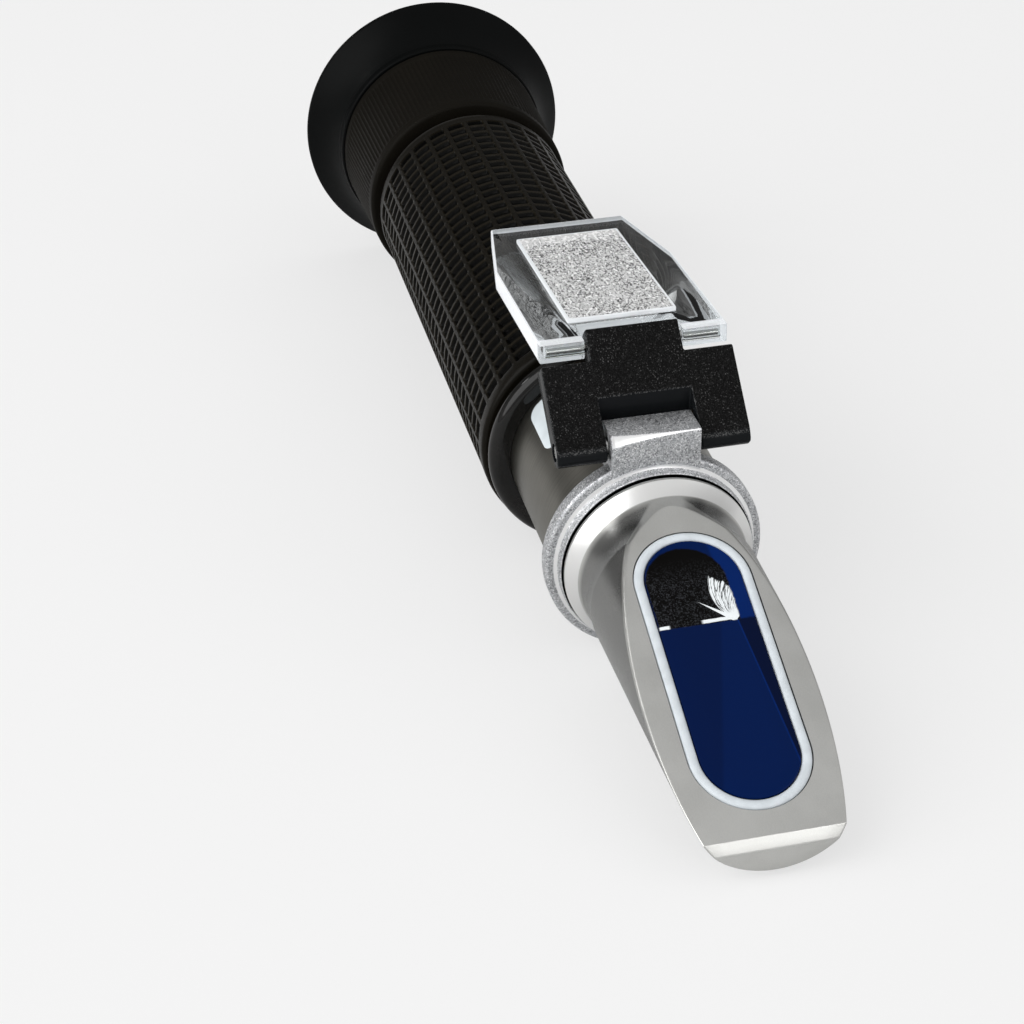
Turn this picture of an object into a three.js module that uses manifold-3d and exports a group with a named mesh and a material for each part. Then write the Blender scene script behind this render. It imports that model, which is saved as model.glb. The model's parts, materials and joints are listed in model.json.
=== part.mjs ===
// Handheld alcohol refractometer with a flip-up daylight plate.
// Millimetres. X runs along the optical axis towards the prism end, Y is sideways and Z is up, on the
// hinge side. In the instrument's own frame x = 0 is the front face of the hinge collar. The finished
// instrument leans a little, because it lies on its eyecup and its collar.
import * as THREE from 'three';
import { mergeVertices } from 'three/addons/utils/BufferGeometryUtils.js';
import Module from 'manifold-3d';

const wasm = await Module();
wasm.setup();

// Clearances and fineness
const fit = 0.3;
const closeFit = 0.15;
const pinFit = 0.22;
const overrun = 2;
const weldDistance = 0.0001;
const roundSides = 32;
const smallSides = 16;
const arcSteps = 6;
const coarseSteps = 4;
const lensSteps = 3;
const innerSides = 24;

// Barrel, a plain metal tube
const barrelRadius = 11;
const barrelWall = 1.6;
const barrelShown = 21.3;

// Hinge collar on the front of the barrel
const collarRise = 1.55;
const collarWidth = 2.1;
const collarEdge = 0.4;
const collarShoulder = 1.2;
const neckRise = 0.15;
const neckLength = 1.3;
const neckFlare = 0.5;
const bossHalfWidth = 5;
const bossFront = 1.2;
const bossOverPivot = 2;
const bossBevel = 1.1;
const bossBevelLength = 0.8;
const bossDepthAlong = 4.7;

// Prism head, a stepped round housing cut off by the slanted face
const headStep = 1.1;
const headTaper = 0.75;
const headLength = 42.3;
const flangeDrop = 0.3;
const flangeEdge = 0.4;
const flangeChamferLength = 1.7;
const coveLength = 5;
const coveDepth = 0.3;
const spigotLength = 9;
const faceAngle = THREE.MathUtils.degToRad(21.2);
const faceCrossing = 28.2;
const tipChamfer = 0.9;
const lightBore = 5;
const spigotWall = 1.6;
const ringGroove = 0.9;
const ringGrooveWidth = 1.6;

// Measuring prism and its seal, long shapes with round ends set into the slanted face
const prismSideMargin = 3.8;
const prismFloorMargin = 2.8;
const prismLength = 31.5;
const prismCentre = -5.55;
const prismDepth = 8;
const sealWidth = 1.1;
const sealDepth = 1.5;
const sealProud = 0.15;

// Cover arm, hinged on the collar's boss
const pivotBack = 3.4;
const pivotRise = 2.5;
const armLength = 11.6;
const armInset = 0.1;
const armHalfThickness = 1.35;
const armEdge = 0.3;
const lugFlat = 0.15;
const lugReach = 1.8;
const lugNoseShare = 0.4;
const lugBendShare = 0.85;
const notchDepth = 5.2;
const shoulderReach = 9.4;
const tongueReach = 13.1;
const armFold = THREE.MathUtils.degToRad(137);
const armPinRadius = 0.8;
const plateFold = THREE.MathUtils.degToRad(184.2);

// Daylight plate, hinged on the arm
const plateLength = 34.2;
const plateInset = 0.2;
const plateTaper = 2.4;
const plateStraight = 20.7;
const plateFace = 1.2;
const plateBack = 1;
const plateKnuckle = 1.2;
const plateEdge = 0.15;
const plateNotch = 3.4;
const windowOverlap = 1.1;
const windowHeight = 0.5;
const windowMargin = 5.2;
const windowStart = 0.3;
const platePinRadius = 0.5;
const platePinInset = 0.9;

// Black ring and grip sleeve on the barrel
const frontRingRise = 2.5;
const frontRingWidth = 2.5;
const gripWall = 2.6;
const gripLength = 69.7;
const gripEndChamfer = 0.6;
const gripMargin = 2;
const gripColumns = 30;
const gripRows = 14;
const recessDepth = 0.6;
const recessAcrossShare = 0.6;
const recessAlongShare = 0.62;

// Focusing eyepiece
const focusGap = 2;
const focusRingLength = 19.7;
const focusRise = 0.8;
const focusSpread = 0.7;
const focusEdge = 0.5;
const focusRim = 1.6;
const focusRimBack = 2.4;
const focusRunning = 0.7;
const focusWeb = 5.4;
const serrations = 48;
const serrationDepth = 0.25;
const cupSpigotStep = 2.3;
const cupSpigotLength = 2.8;
const eyepieceWall = 1;
const eyepieceReach = 13;
const eyepieceFlange = 1.3;
const bushSleeve = 0.9;
const bushFlange = 1.2;
const bushLength = 9;

// Eyecup, a flared rubber bell
const cupRadius = 20;
const cupDepth = 9;
const cupFootRise = 0.35;
const cupFootLength = 1.6;
const cupRise = 0.5;
const cupLip = 1.3;
const cupWall = 1.1;
const cupFloor = 0.9;
const cupOpeningRise = 1.1;

// Glass and holders inside the barrel
const lensEdge = 2;
const lensBulge = 1.1;
const lensGap = 13;
const retainerWidth = 1.4;
const retainerWall = 1.1;
const reticleBack = 16;
const reticleThickness = 1.5;
const reticleRingWidth = 1.2;
const reticleRingWall = 1.4;
const carriageLength = 10;
const carriageWall = 2.3;
const carriageSlack = 0.25;
const stripGap = 5.9;
const stripHalfWidth = 2.5;
const stripThickness = 0.8;

// Calibration screw on top of the barrel
const screwSet = 11.1;
const screwHeadRadius = 1.9;
const screwHeadHeight = 1;
const screwStemRadius = 1;
const screwTipDepth = 1.3;
const screwSlotWidth = 0.6;
const screwSlotDepth = 0.5;
const screwRecess = 0.3;
const bushWall = 0.9;
const bushProud = 0.6;
const bushBaseThickness = 0.6;
const calibrationTravel = 0.5;

// Places along the axis, from the collar's front face backwards
const headBack = fit;
const headFront = headLength;
const collarRimFront = -neckLength;
const collarBack = collarRimFront - collarWidth;
const barrelFront = collarRimFront - collarShoulder - closeFit;
const frontRingFront = collarBack - barrelShown;
const frontRingBack = frontRingFront - frontRingWidth;
const gripFront = frontRingBack - fit;
const gripBack = gripFront - gripLength;
const focusFront = gripBack - focusGap;
const focusBack = focusFront - focusRingLength;
const barrelBack = focusFront + focusGap / 2;
const cupFront = focusBack - fit;
const cupBack = cupFront - cupDepth;
const screwAt = collarBack - screwSet;
const carriageFront = screwAt + carriageLength / 2;
const carriageBack = screwAt - carriageLength / 2;

// Outlines of pieces that others seat on, all following the barrel
const barrelBore = barrelRadius - barrelWall;
const spigotRadius = barrelBore - fit;
const neckBore = spigotRadius + fit;
const collarRadius = barrelRadius + collarRise;
const neckRadius = barrelRadius + neckRise;
const flangeRadius = neckRadius - flangeDrop;
const headRadius = flangeRadius - headStep;
const headTipRadius = headRadius - headTaper;
const prismHalfWidth = headTipRadius - prismSideMargin;
const prismUnderside = headTipRadius - prismFloorMargin;
const pivotHeight = barrelRadius + pivotRise;
const bossTop = pivotHeight + bossOverPivot;
const armHalfWidth = barrelRadius - armInset;
const tongueHalfWidth = bossHalfWidth + fit;
const plateHalfWidth = armHalfWidth - plateInset;
const plateTipHalfWidth = plateHalfWidth - plateTaper;
const windowHalfWidth = prismHalfWidth + windowOverlap;
const frontRingRadius = barrelRadius + frontRingRise;
const gripRadius = barrelRadius + fit + gripWall;
const focusFrontRadius = gripRadius + focusRise;
const focusBackRadius = focusFrontRadius + focusSpread;
const focusBoreRadius = barrelRadius + focusRunning;
const cupSpigotRadius = focusBackRadius - cupSpigotStep;
const cupFootRadius = focusBackRadius + cupFootRise;
const carriageRadius = barrelBore - carriageSlack - fit;
const eyepieceRadius = barrelBore - 2 * fit - bushSleeve;
const eyepieceBore = eyepieceRadius - eyepieceWall;
const cupOpening = eyepieceRadius + cupOpeningRise;
const eyepieceFront = gripBack + eyepieceReach;
const eyepieceBack = focusBack - cupSpigotLength - eyepieceFlange - fit;
const reticleFront = eyepieceFront + reticleBack;

// One closed surface: shared corners are merged, flat slivers are dropped and the faces point outwards.
function closed(geometry) {
  for (const name of Object.keys(geometry.attributes)) {
    if (name !== 'position') geometry.deleteAttribute(name);
  }
  const merged = mergeVertices(geometry, weldDistance);
  const corners = merged.index.array;
  const faces = [];
  for (let i = 0; i < corners.length; i += 3) {
    const [a, b, c] = [corners[i], corners[i + 1], corners[i + 2]];
    if (a !== b && b !== c && c !== a) faces.push(a, b, c);
  }
  merged.setIndex(faces);
  if (signedVolume(merged) < 0) {
    for (let i = 0; i < faces.length; i += 3) [faces[i], faces[i + 1]] = [faces[i + 1], faces[i]];
    merged.setIndex(faces);
  }
  return merged;
}

function signedVolume(geometry) {
  const place = geometry.getAttribute('position');
  const [a, b, c] = [new THREE.Vector3(), new THREE.Vector3(), new THREE.Vector3()];
  let volume = 0;
  for (let i = 0; i < geometry.index.count; i += 3) {
    a.fromBufferAttribute(place, geometry.index.getX(i));
    b.fromBufferAttribute(place, geometry.index.getX(i + 1));
    c.fromBufferAttribute(place, geometry.index.getX(i + 2));
    volume += a.dot(b.cross(c)) / 6;
  }
  return volume;
}

function solid(geometry) {
  const vertProperties = new Float32Array(geometry.getAttribute('position').array);
  const triVerts = new Uint32Array(geometry.index.array);
  return new wasm.Manifold(new wasm.Mesh({ numProp: 3, vertProperties, triVerts }));
}

function surface(body) {
  const mesh = body.getMesh();
  const geometry = new THREE.BufferGeometry();
  geometry.setAttribute('position', new THREE.BufferAttribute(mesh.vertProperties, mesh.numProp));
  geometry.setIndex(new THREE.BufferAttribute(mesh.triVerts, 1));
  return geometry;
}

function cut(base, ...tools) {
  return surface(tools.reduce((body, tool) => body.subtract(solid(tool)), solid(base)));
}

function join(base, ...others) {
  return surface(others.reduce((body, other) => body.add(solid(other)), solid(base)));
}

function common(base, other) {
  return surface(solid(base).intersect(solid(other)));
}

// A profile of [x, radius] pairs turned about the optical axis, with a flat facet at the top and bottom.
function turned(profile, sides = roundSides) {
  const points = profile.map(([x, radius]) => new THREE.Vector2(radius, x));
  const geometry = new THREE.LatheGeometry(points, sides, Math.PI / sides);
  return closed(geometry.rotateZ(-Math.PI / 2));
}

function turnedRing(profile, sides) {
  return turned([...profile, profile[0]], sides);
}

function tube(from, to, inner, outer, sides) {
  return turnedRing([[from, inner], [from, outer], [to, outer], [to, inner]], sides);
}

function rod(radius, from, to, sides = smallSides) {
  return turned([[from, 0], [from, radius], [to, radius], [to, 0]], sides);
}

function crossRod(radius, halfLength) {
  return rod(radius, -halfLength, halfLength).rotateZ(Math.PI / 2);
}

function uprightRod(radius, from, to) {
  return rod(radius, from, to).rotateY(-Math.PI / 2);
}

function block(fromX, toX, halfWidth, fromZ, toZ) {
  const geometry = new THREE.BoxGeometry(toX - fromX, 2 * halfWidth, toZ - fromZ);
  return closed(geometry.translate((fromX + toX) / 2, 0, (fromZ + toZ) / 2));
}

// An outline in X and Z, carried across the width of the piece, with its side edges broken.
function acrossWidth(outline, halfWidth, edge = 0) {
  const depth = 2 * (halfWidth - edge);
  const bevel = { bevelEnabled: edge > 0, bevelSize: edge, bevelThickness: edge, bevelSegments: 1 };
  const settings = { depth, curveSegments: arcSteps, bevelOffset: -edge, ...bevel };
  const geometry = new THREE.ExtrudeGeometry(outline, settings);
  return closed(geometry.rotateX(Math.PI / 2).translate(0, depth / 2, 0));
}

// A flat shape with round ends, extruded downwards from the slanted face of the head.
function roundEnded(halfWidth, length, top, bottom) {
  const straight = length / 2 - halfWidth;
  const shape = new THREE.Shape();
  shape.absarc(straight, 0, halfWidth, -Math.PI / 2, Math.PI / 2);
  shape.absarc(-straight, 0, halfWidth, Math.PI / 2, 1.5 * Math.PI);
  const settings = { depth: top - bottom, curveSegments: arcSteps, bevelEnabled: false };
  const geometry = new THREE.ExtrudeGeometry(shape, settings);
  return ontoFace(closed(geometry.translate(prismCentre, 0, bottom)));
}

// From the slanted face's own frame (X down the slope, Z out of the face) to the instrument's frame.
function ontoFace(geometry) {
  return geometry.rotateY(faceAngle).translate(faceCrossing, 0, 0);
}

function barrelTube() {
  const tubeBody = tube(barrelBack, barrelFront, barrelBore, barrelRadius);
  const bushHole = uprightRod(screwBushRadius() + closeFit, 0, barrelRadius + overrun);
  return cut(tubeBody, bushHole.translate(screwAt, 0, 0));
}

// The collar: a ring against whose inner shoulder the barrel ends, a neck, and the boss for the hinge.
function hingeCollar() {
  const shoulder = barrelFront + closeFit;
  const ring = turnedRing([
    [collarBack, barrelRadius + fit],
    [collarBack, collarRadius - collarEdge],
    [collarBack + collarEdge, collarRadius],
    [collarRimFront - collarEdge, collarRadius],
    [collarRimFront, collarRadius - collarEdge],
    [collarRimFront, neckRadius + neckFlare],
    [collarRimFront + collarEdge / 2, neckRadius],
    [0, neckRadius],
    [0, neckBore],
    [shoulder, neckBore],
    [shoulder, barrelRadius + fit],
  ]);
  const bossBack = bossFront + bossDepthAlong;
  const bossFoot = Math.sqrt(neckRadius ** 2 - bossHalfWidth ** 2) - fit;
  const outline = new THREE.Shape();
  outline.moveTo(-bossBack, bossFoot);
  outline.lineTo(-bossFront, bossFoot);
  outline.lineTo(-bossFront, bossTop - bossBevel);
  outline.lineTo(-bossFront - bossBevelLength, bossTop);
  outline.lineTo(-bossBack + bossBevelLength, bossTop);
  outline.lineTo(-bossBack, bossTop - bossBevelLength);
  const throat = rod((neckBore + neckRadius) / 2, -bossBack - overrun, overrun, roundSides);
  const seat = rod(barrelRadius + fit + closeFit, -bossBack - overrun, shoulder + collarShoulder / 2, roundSides);
  const boss = cut(acrossWidth(outline, bossHalfWidth), throat, seat);
  const pinHole = crossRod(armPinRadius + pinFit, bossHalfWidth + overrun);
  return cut(join(ring, boss), pinHole.translate(-pivotBack, 0, pivotHeight));
}

// The head's outline: spigot with its ring groove, flange, chamfer, hollow neck and slightly tapered body.
function headProfile() {
  const grooveFront = headBack - (spigotLength - ringGrooveWidth) / 2;
  const grooveBack = grooveFront - ringGrooveWidth;
  const coveStart = headBack + flangeEdge + flangeChamferLength;
  const cove = [];
  for (let i = 0; i <= arcSteps; i += 1) {
    const share = i / arcSteps;
    const dip = coveDepth * Math.sin(Math.PI * share);
    cove.push([coveStart + coveLength * share, headRadiusAt(coveStart + coveLength * share) - dip]);
  }
  return [
    [headBack - spigotLength, 0],
    [headBack - spigotLength, spigotRadius],
    [grooveBack, spigotRadius],
    [grooveBack, spigotRadius - ringGroove],
    [grooveFront, spigotRadius - ringGroove],
    [grooveFront, spigotRadius],
    [headBack, spigotRadius],
    [headBack, flangeRadius],
    [headBack + flangeEdge, flangeRadius],
    ...cove,
    [headFront, headTipRadius],
    [headFront, 0],
  ];
}

function headRadiusAt(x) {
  return headRadius + (headTipRadius - headRadius) * x / headFront;
}

function prismHousing() {
  const body = turned(headProfile());
  const reach = headFront + overrun;
  const aboveFace = ontoFace(block(-reach, reach, headRadius + overrun, 0, reach));
  const tipDrop = (headFront - faceCrossing) * Math.tan(faceAngle);
  const chamferTurn = Math.PI / 4 + faceAngle / 2;
  const tipCut = block(-overrun, overrun, headRadius, -tipChamfer / 2, overrun);
  tipCut.rotateY(chamferTurn).translate(headFront, 0, -tipDrop - tipChamfer / 2);
  const bore = rod(lightBore, headBack, faceCrossing - prismLength / 2 + prismHalfWidth, roundSides);
  const backBore = rod(spigotRadius - spigotWall, headBack - spigotLength - overrun, headBack + fit, roundSides);
  const sealRecess = roundEnded(sealHalfWidth() + closeFit, sealLength() + 2 * closeFit, overrun,
    sealProud - sealDepth - closeFit);
  const pocket = common(
    roundEnded(prismHalfWidth + closeFit, prismLength + 2 * closeFit, overrun, -prismDepth - closeFit),
    block(-reach, 2 * reach, headRadius, -prismUnderside - closeFit, reach));
  return cut(body, aboveFace, tipCut, bore, backBore, sealRecess, pocket);
}

function sealHalfWidth() {
  return prismHalfWidth + sealWidth;
}

function sealLength() {
  return prismLength + 2 * sealWidth;
}

function measuringPrism() {
  const glass = roundEnded(prismHalfWidth, prismLength, sealProud, -prismDepth);
  return common(glass, block(-overrun, headFront, headRadius, -prismUnderside, headRadius));
}

function prismSeal() {
  const outer = roundEnded(sealHalfWidth(), sealLength(), sealProud, sealProud - sealDepth);
  const inner = roundEnded(prismHalfWidth + closeFit, prismLength + 2 * closeFit, overrun, -sealDepth - overrun);
  return cut(outer, inner);
}

// A round rubber ring in the groove of the head's spigot.
function headSealRing() {
  const thickness = (ringGroove + fit - closeFit) / 2;
  const middle = spigotRadius + fit - closeFit / 2 - thickness;
  const ring = new THREE.TorusGeometry(middle, thickness - closeFit / 2, arcSteps, smallSides);
  ring.rotateZ(Math.PI / smallSides).rotateY(Math.PI / 2);
  return closed(ring.translate(headBack - spigotLength / 2, 0, 0));
}

function armHingePin() {
  return crossRod(armPinRadius, armHalfWidth - closeFit);
}

// The arm in its own frame: X from the collar hinge to the plate hinge, -Z towards the prism when closed.
function coverArm() {
  const outline = new THREE.Shape();
  outline.moveTo(-lugFlat, -armHalfThickness);
  outline.lineTo(tongueReach - armEdge, -armHalfThickness);
  outline.lineTo(tongueReach, -armHalfThickness + armEdge);
  outline.lineTo(tongueReach, 0);
  outline.absarc(armLength, 0, tongueReach - armLength, 0, Math.PI / 4);
  outline.lineTo(armLength, armHalfThickness);
  outline.lineTo(0, armHalfThickness);
  outline.absellipse(0, 0, lugReach, armHalfThickness, Math.PI / 2, Math.PI);
  outline.lineTo(-lugReach, -armHalfThickness * lugNoseShare);
  outline.quadraticCurveTo(-lugReach * lugBendShare, -armHalfThickness * lugBendShare, -lugFlat, -armHalfThickness);
  const slab = acrossWidth(outline, armHalfWidth, armEdge);
  const deep = armHalfThickness + overrun;
  const bossNotch = block(-lugReach - overrun, notchDepth, bossHalfWidth + fit, -deep, deep);
  const knuckleRoom = block(shoulderReach, tongueReach + overrun, armHalfWidth + overrun, -deep, deep);
  const tongueKept = block(notchDepth, tongueReach + 2 * overrun, tongueHalfWidth, -2 * deep, 2 * deep);
  const armHole = crossRod(armPinRadius + pinFit, armHalfWidth + overrun);
  const plateHole = crossRod(platePinRadius + pinFit, armHalfWidth + overrun);
  const sides = cut(knuckleRoom, tongueKept);
  return cut(slab, bossNotch, sides, armHole, plateHole.translate(armLength, 0, 0));
}

function plateHingePin() {
  return crossRod(platePinRadius, plateHalfWidth - platePinInset);
}

// The plate in its own frame: X away from its hinge, the raised frosted window on the -Z side.
function daylightPlate() {
  const shape = new THREE.Shape();
  const inner = tongueHalfWidth + fit;
  shape.moveTo(-plateKnuckle + plateEdge, -plateHalfWidth + plateEdge);
  shape.lineTo(plateStraight, -plateHalfWidth + plateEdge);
  shape.lineTo(plateLength - plateEdge, -plateTipHalfWidth + plateEdge);
  shape.lineTo(plateLength - plateEdge, plateTipHalfWidth - plateEdge);
  shape.lineTo(plateStraight, plateHalfWidth - plateEdge);
  shape.lineTo(-plateKnuckle + plateEdge, plateHalfWidth - plateEdge);
  shape.lineTo(-plateKnuckle + plateEdge, inner + plateEdge);
  shape.lineTo(plateNotch + plateEdge, inner + plateEdge);
  shape.lineTo(plateNotch + plateEdge, -inner - plateEdge);
  shape.lineTo(-plateKnuckle + plateEdge, -inner - plateEdge);
  const bevel = { bevelSize: plateEdge, bevelThickness: plateEdge, bevelSegments: 1 };
  const depth = plateFace + plateBack - 2 * plateEdge;
  const sheet = closed(new THREE.ExtrudeGeometry(shape, { depth, ...bevel }).translate(0, 0, plateEdge - plateFace));
  const window = block(plateNotch + windowStart, plateLength - windowMargin, windowHalfWidth,
    -plateFace - windowHeight, 0);
  const pinHole = crossRod(platePinRadius + pinFit, plateHalfWidth - platePinInset + closeFit);
  return cut(join(sheet, window), pinHole);
}

function frontRing() {
  const inner = barrelRadius + fit;
  const half = frontRingWidth / 2;
  const middle = frontRingFront - half;
  const profile = [[frontRingBack, inner]];
  for (let i = 0; i <= coarseSteps; i += 1) {
    const turn = Math.PI * i / coarseSteps;
    profile.push([middle - half * Math.cos(turn), frontRingRadius - half + half * Math.sin(turn)]);
  }
  profile.push([frontRingFront, inner]);
  return turnedRing(profile);
}

// The grip: a sleeve whose outside is a grid of small recesses between lengthwise ribs.
function gripSleeve() {
  const stations = [gripBack, gripBack + gripEndChamfer];
  const pitch = (gripLength - 2 * gripMargin) / gripRows;
  for (let row = 0; row < gripRows; row += 1) {
    const middle = gripBack + gripMargin + pitch * (row + 0.5);
    stations.push(middle - pitch * recessAlongShare / 2, middle + pitch * recessAlongShare / 2);
  }
  stations.push(gripFront - gripEndChamfer, gripFront);
  const last = stations.length - 1;
  const step = 2 * Math.PI / gripColumns;
  const places = [];
  const faces = [];
  const point = (x, radius, angle) => places.push(x, radius * Math.sin(angle), radius * Math.cos(angle));
  stations.forEach((x, i) => {
    const radius = i === 0 || i === last ? gripRadius - gripEndChamfer : gripRadius;
    for (let column = 0; column < gripColumns; column += 1) {
      point(x, radius, step * (column - recessAcrossShare / 2));
      point(x, radius, step * (column + recessAcrossShare / 2));
    }
  });
  const around = 2 * gripColumns;
  const outer = (i, k) => i * around + (k % around);
  const boreStart = stations.length * around;
  for (const x of [gripBack, gripFront]) {
    for (let column = 0; column < gripColumns; column += 1) point(x, barrelRadius + fit, step * column);
  }
  const bore = (end, column) => boreStart + end * gripColumns + (column % gripColumns);
  let floor = boreStart + 2 * gripColumns;
  for (let i = 0; i < last; i += 1) {
    const recessRow = i >= 2 && i % 2 === 0 && i < last - 1;
    for (let k = 0; k < around; k += 1) {
      const [a, b, c, d] = [outer(i, k), outer(i + 1, k), outer(i + 1, k + 1), outer(i, k + 1)];
      if (recessRow && k % 2 === 0) {
        point((stations[i] + stations[i + 1]) / 2, gripRadius - recessDepth, step * k / 2);
        faces.push(a, b, floor, b, c, floor, c, d, floor, d, a, floor);
        floor++;
      } else {
        faces.push(a, b, c, a, c, d);
      }
    }
  }
  for (let column = 0; column < gripColumns; column += 1) {
    const [left, right, next] = [2 * column, 2 * column + 1, 2 * column + 2];
    const [b0, b1] = [bore(0, column), bore(0, column + 1)];
    const [f0, f1] = [bore(1, column), bore(1, column + 1)];
    faces.push(outer(0, left), outer(0, right), b0, outer(0, right), outer(0, next), b1, outer(0, right), b1, b0);
    faces.push(outer(last, right), outer(last, left), f0, outer(last, next), outer(last, right), f1,
      f1, outer(last, right), f0);
    faces.push(b0, b1, f1, b0, f1, f0);
  }
  const geometry = new THREE.BufferGeometry();
  geometry.setAttribute('position', new THREE.Float32BufferAttribute(places, 3));
  geometry.setIndex(faces);
  return closed(geometry);
}

// A round flanged bush in the back of the barrel, in which the eyepiece slides.
function focusBush() {
  return turnedRing([
    [barrelBack + bushLength, eyepieceRadius + fit],
    [barrelBack + bushLength, barrelBore - fit],
    [barrelBack - closeFit, barrelBore - fit],
    [barrelBack - closeFit, barrelRadius - closeFit],
    [barrelBack - closeFit - bushFlange, barrelRadius - closeFit],
    [barrelBack - closeFit - bushFlange, eyepieceRadius + fit],
  ], innerSides);
}

function eyepieceTube() {
  const flangeFront = eyepieceBack + eyepieceFlange;
  const shoulder = eyepieceFlange;
  return turnedRing([
    [eyepieceFront, eyepieceBore],
    [eyepieceFront, eyepieceRadius],
    [flangeFront, eyepieceRadius],
    [flangeFront, cupOpening - fit],
    [eyepieceBack, cupOpening - fit],
    [eyepieceBack, eyepieceBore - retainerWall],
    [eyepieceBack + shoulder, eyepieceBore - retainerWall],
    [eyepieceBack + shoulder, eyepieceBore],
  ], innerSides);
}

function focusRadiusAt(x) {
  return focusFrontRadius + (focusBackRadius - focusFrontRadius) * (focusFront - x) / focusRingLength;
}

// The focusing ring: plain rims, and between them a slightly conical band of fine lengthwise serrations.
function focusRing() {
  const bandFront = focusFront - focusRim;
  const bandBack = focusBack + focusRimBack;
  const sunk = 2 * serrationDepth;
  const core = turnedRing([
    [focusFront, focusBoreRadius],
    [focusFront, focusFrontRadius - focusEdge],
    [focusFront - focusEdge, focusRadiusAt(focusFront - focusEdge)],
    [bandFront, focusRadiusAt(bandFront)],
    [bandFront, focusRadiusAt(bandFront) - sunk],
    [bandBack, focusRadiusAt(bandBack) - sunk],
    [bandBack, focusRadiusAt(bandBack)],
    [focusBack, focusBackRadius],
    [focusBack, cupSpigotRadius],
    [focusBack - cupSpigotLength, cupSpigotRadius],
    [focusBack - cupSpigotLength, eyepieceRadius + fit],
    [focusBack + focusWeb, eyepieceRadius + fit],
    [focusBack + focusWeb, focusBoreRadius],
  ]);
  return join(core, serratedBand(bandBack - focusEdge / 2, bandFront + focusEdge / 2, sunk));
}

function serratedBand(from, to, sunk) {
  const section = new THREE.Shape();
  for (let i = 0; i < 2 * serrations; i += 1) {
    const radius = i % 2 ? focusFrontRadius : focusFrontRadius - serrationDepth;
    const turn = Math.PI * (i + 0.5) / serrations;
    const method = i ? 'lineTo' : 'moveTo';
    section[method](radius * Math.cos(turn), radius * Math.sin(turn));
  }
  const hole = new THREE.Path();
  hole.absarc(0, 0, focusFrontRadius - 2 * sunk, 0, 2 * Math.PI, true);
  section.holes.push(hole);
  const settings = { depth: to - from, bevelEnabled: false, curveSegments: smallSides };
  const geometry = new THREE.ExtrudeGeometry(section, settings).rotateY(Math.PI / 2).translate(from, 0, 0);
  const place = geometry.getAttribute('position');
  for (let i = 0; i < place.count; i += 1) {
    const spread = focusRadiusAt(place.getX(i)) / focusFrontRadius;
    place.setXYZ(i, place.getX(i), place.getY(i) * spread, place.getZ(i) * spread);
  }
  return closed(geometry);
}

// The eyecup: a foot gripping the focusing ring's spigot, and a thin bell that opens towards the eye.
function eyecup() {
  const footEnd = cupFront - cupFootLength;
  const floorBack = cupFront - cupSpigotLength - closeFit - cupFloor;
  const lipX = cupBack + cupLip;
  const outer = [];
  for (let i = 0; i <= coarseSteps; i += 1) {
    const share = i / coarseSteps;
    const sag = cupRise * Math.sin(Math.PI * share);
    outer.push([footEnd + (lipX - footEnd) * share, cupFootRadius + (cupRadius - cupFootRadius) * share - sag]);
  }
  return turnedRing([
    [cupFront, cupSpigotRadius + closeFit],
    [cupFront, cupFootRadius - closeFit],
    [cupFront - closeFit, cupFootRadius],
    ...outer,
    [cupBack + cupLip / 3, cupRadius - cupLip / 8],
    [cupBack, cupRadius - cupLip / 2],
    [cupBack + cupLip / 3, cupRadius - cupLip],
    [(lipX + floorBack) / 2, (cupRadius + cupFootRadius) / 2 - cupWall - cupRise],
    [floorBack, cupFootRadius - cupWall],
    [floorBack, cupOpening],
    [floorBack + cupFloor, cupOpening],
    [floorBack + cupFloor, cupSpigotRadius + closeFit],
  ]);
}

// A lens with one or two bulging sides, as sharp-edged glass.
function lens(front, radius, bulgeFront, bulgeBack) {
  const side = (x, bulge) => {
    const points = [];
    for (let i = 0; i <= lensSteps; i += 1) {
      const share = i / lensSteps;
      points.push([x + bulge * (1 - share * share), radius * share]);
    }
    return points;
  };
  return turned([...side(front - lensEdge, -bulgeBack), ...side(front, bulgeFront).reverse()], smallSides);
}

function lensRing(front, outer, wall, width) {
  return tube(front - width, front, outer - wall, outer, smallSides);
}

function lensCarriage() {
  const body = tube(carriageBack, carriageFront, carriageRadius - carriageWall, carriageRadius);
  const slotHalf = screwStemRadius + calibrationTravel + fit;
  const slot = block(screwAt - slotHalf, screwAt + slotHalf, screwStemRadius + fit, 0, carriageRadius + overrun);
  const stepBack = carriageBack - overrun;
  const step = tube(stepBack, carriageBack + stripThickness, carriageRadius - stripThickness, barrelRadius);
  return cut(body, slot, step);
}

function bimetalStrip() {
  const bottom = -Math.sqrt((barrelBore - fit) ** 2 - stripHalfWidth ** 2);
  const front = carriageBack - calibrationTravel - fit;
  return block(reticleFront + stripGap, front, stripHalfWidth, bottom, bottom + stripThickness);
}

function screwBushRadius() {
  return screwHeadRadius + closeFit + bushWall;
}

function screwBush() {
  const top = barrelRadius + bushProud;
  const seat = top - screwRecess - screwHeadHeight - closeFit;
  const body = uprightRod(screwBushRadius(), seat - bushBaseThickness, top);
  const headRoom = uprightRod(screwHeadRadius + closeFit, seat, top + overrun);
  const stemRoom = uprightRod(screwStemRadius + closeFit, 0, seat + overrun);
  return cut(body, headRoom, stemRoom);
}

function calibrationScrew() {
  const top = barrelRadius + bushProud - screwRecess;
  const head = uprightRod(screwHeadRadius, top - screwHeadHeight, top);
  const stem = uprightRod(screwStemRadius, carriageRadius - screwTipDepth, top - screwHeadHeight / 2);
  const slotHalf = screwSlotWidth / 2;
  const slot = block(-slotHalf, slotHalf, screwHeadRadius + overrun, top - screwSlotDepth, top + overrun);
  return cut(join(head, stem), slot);
}

function finish(color, roughness, metalness) {
  return new THREE.MeshStandardMaterial({ color, roughness, metalness });
}

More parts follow.
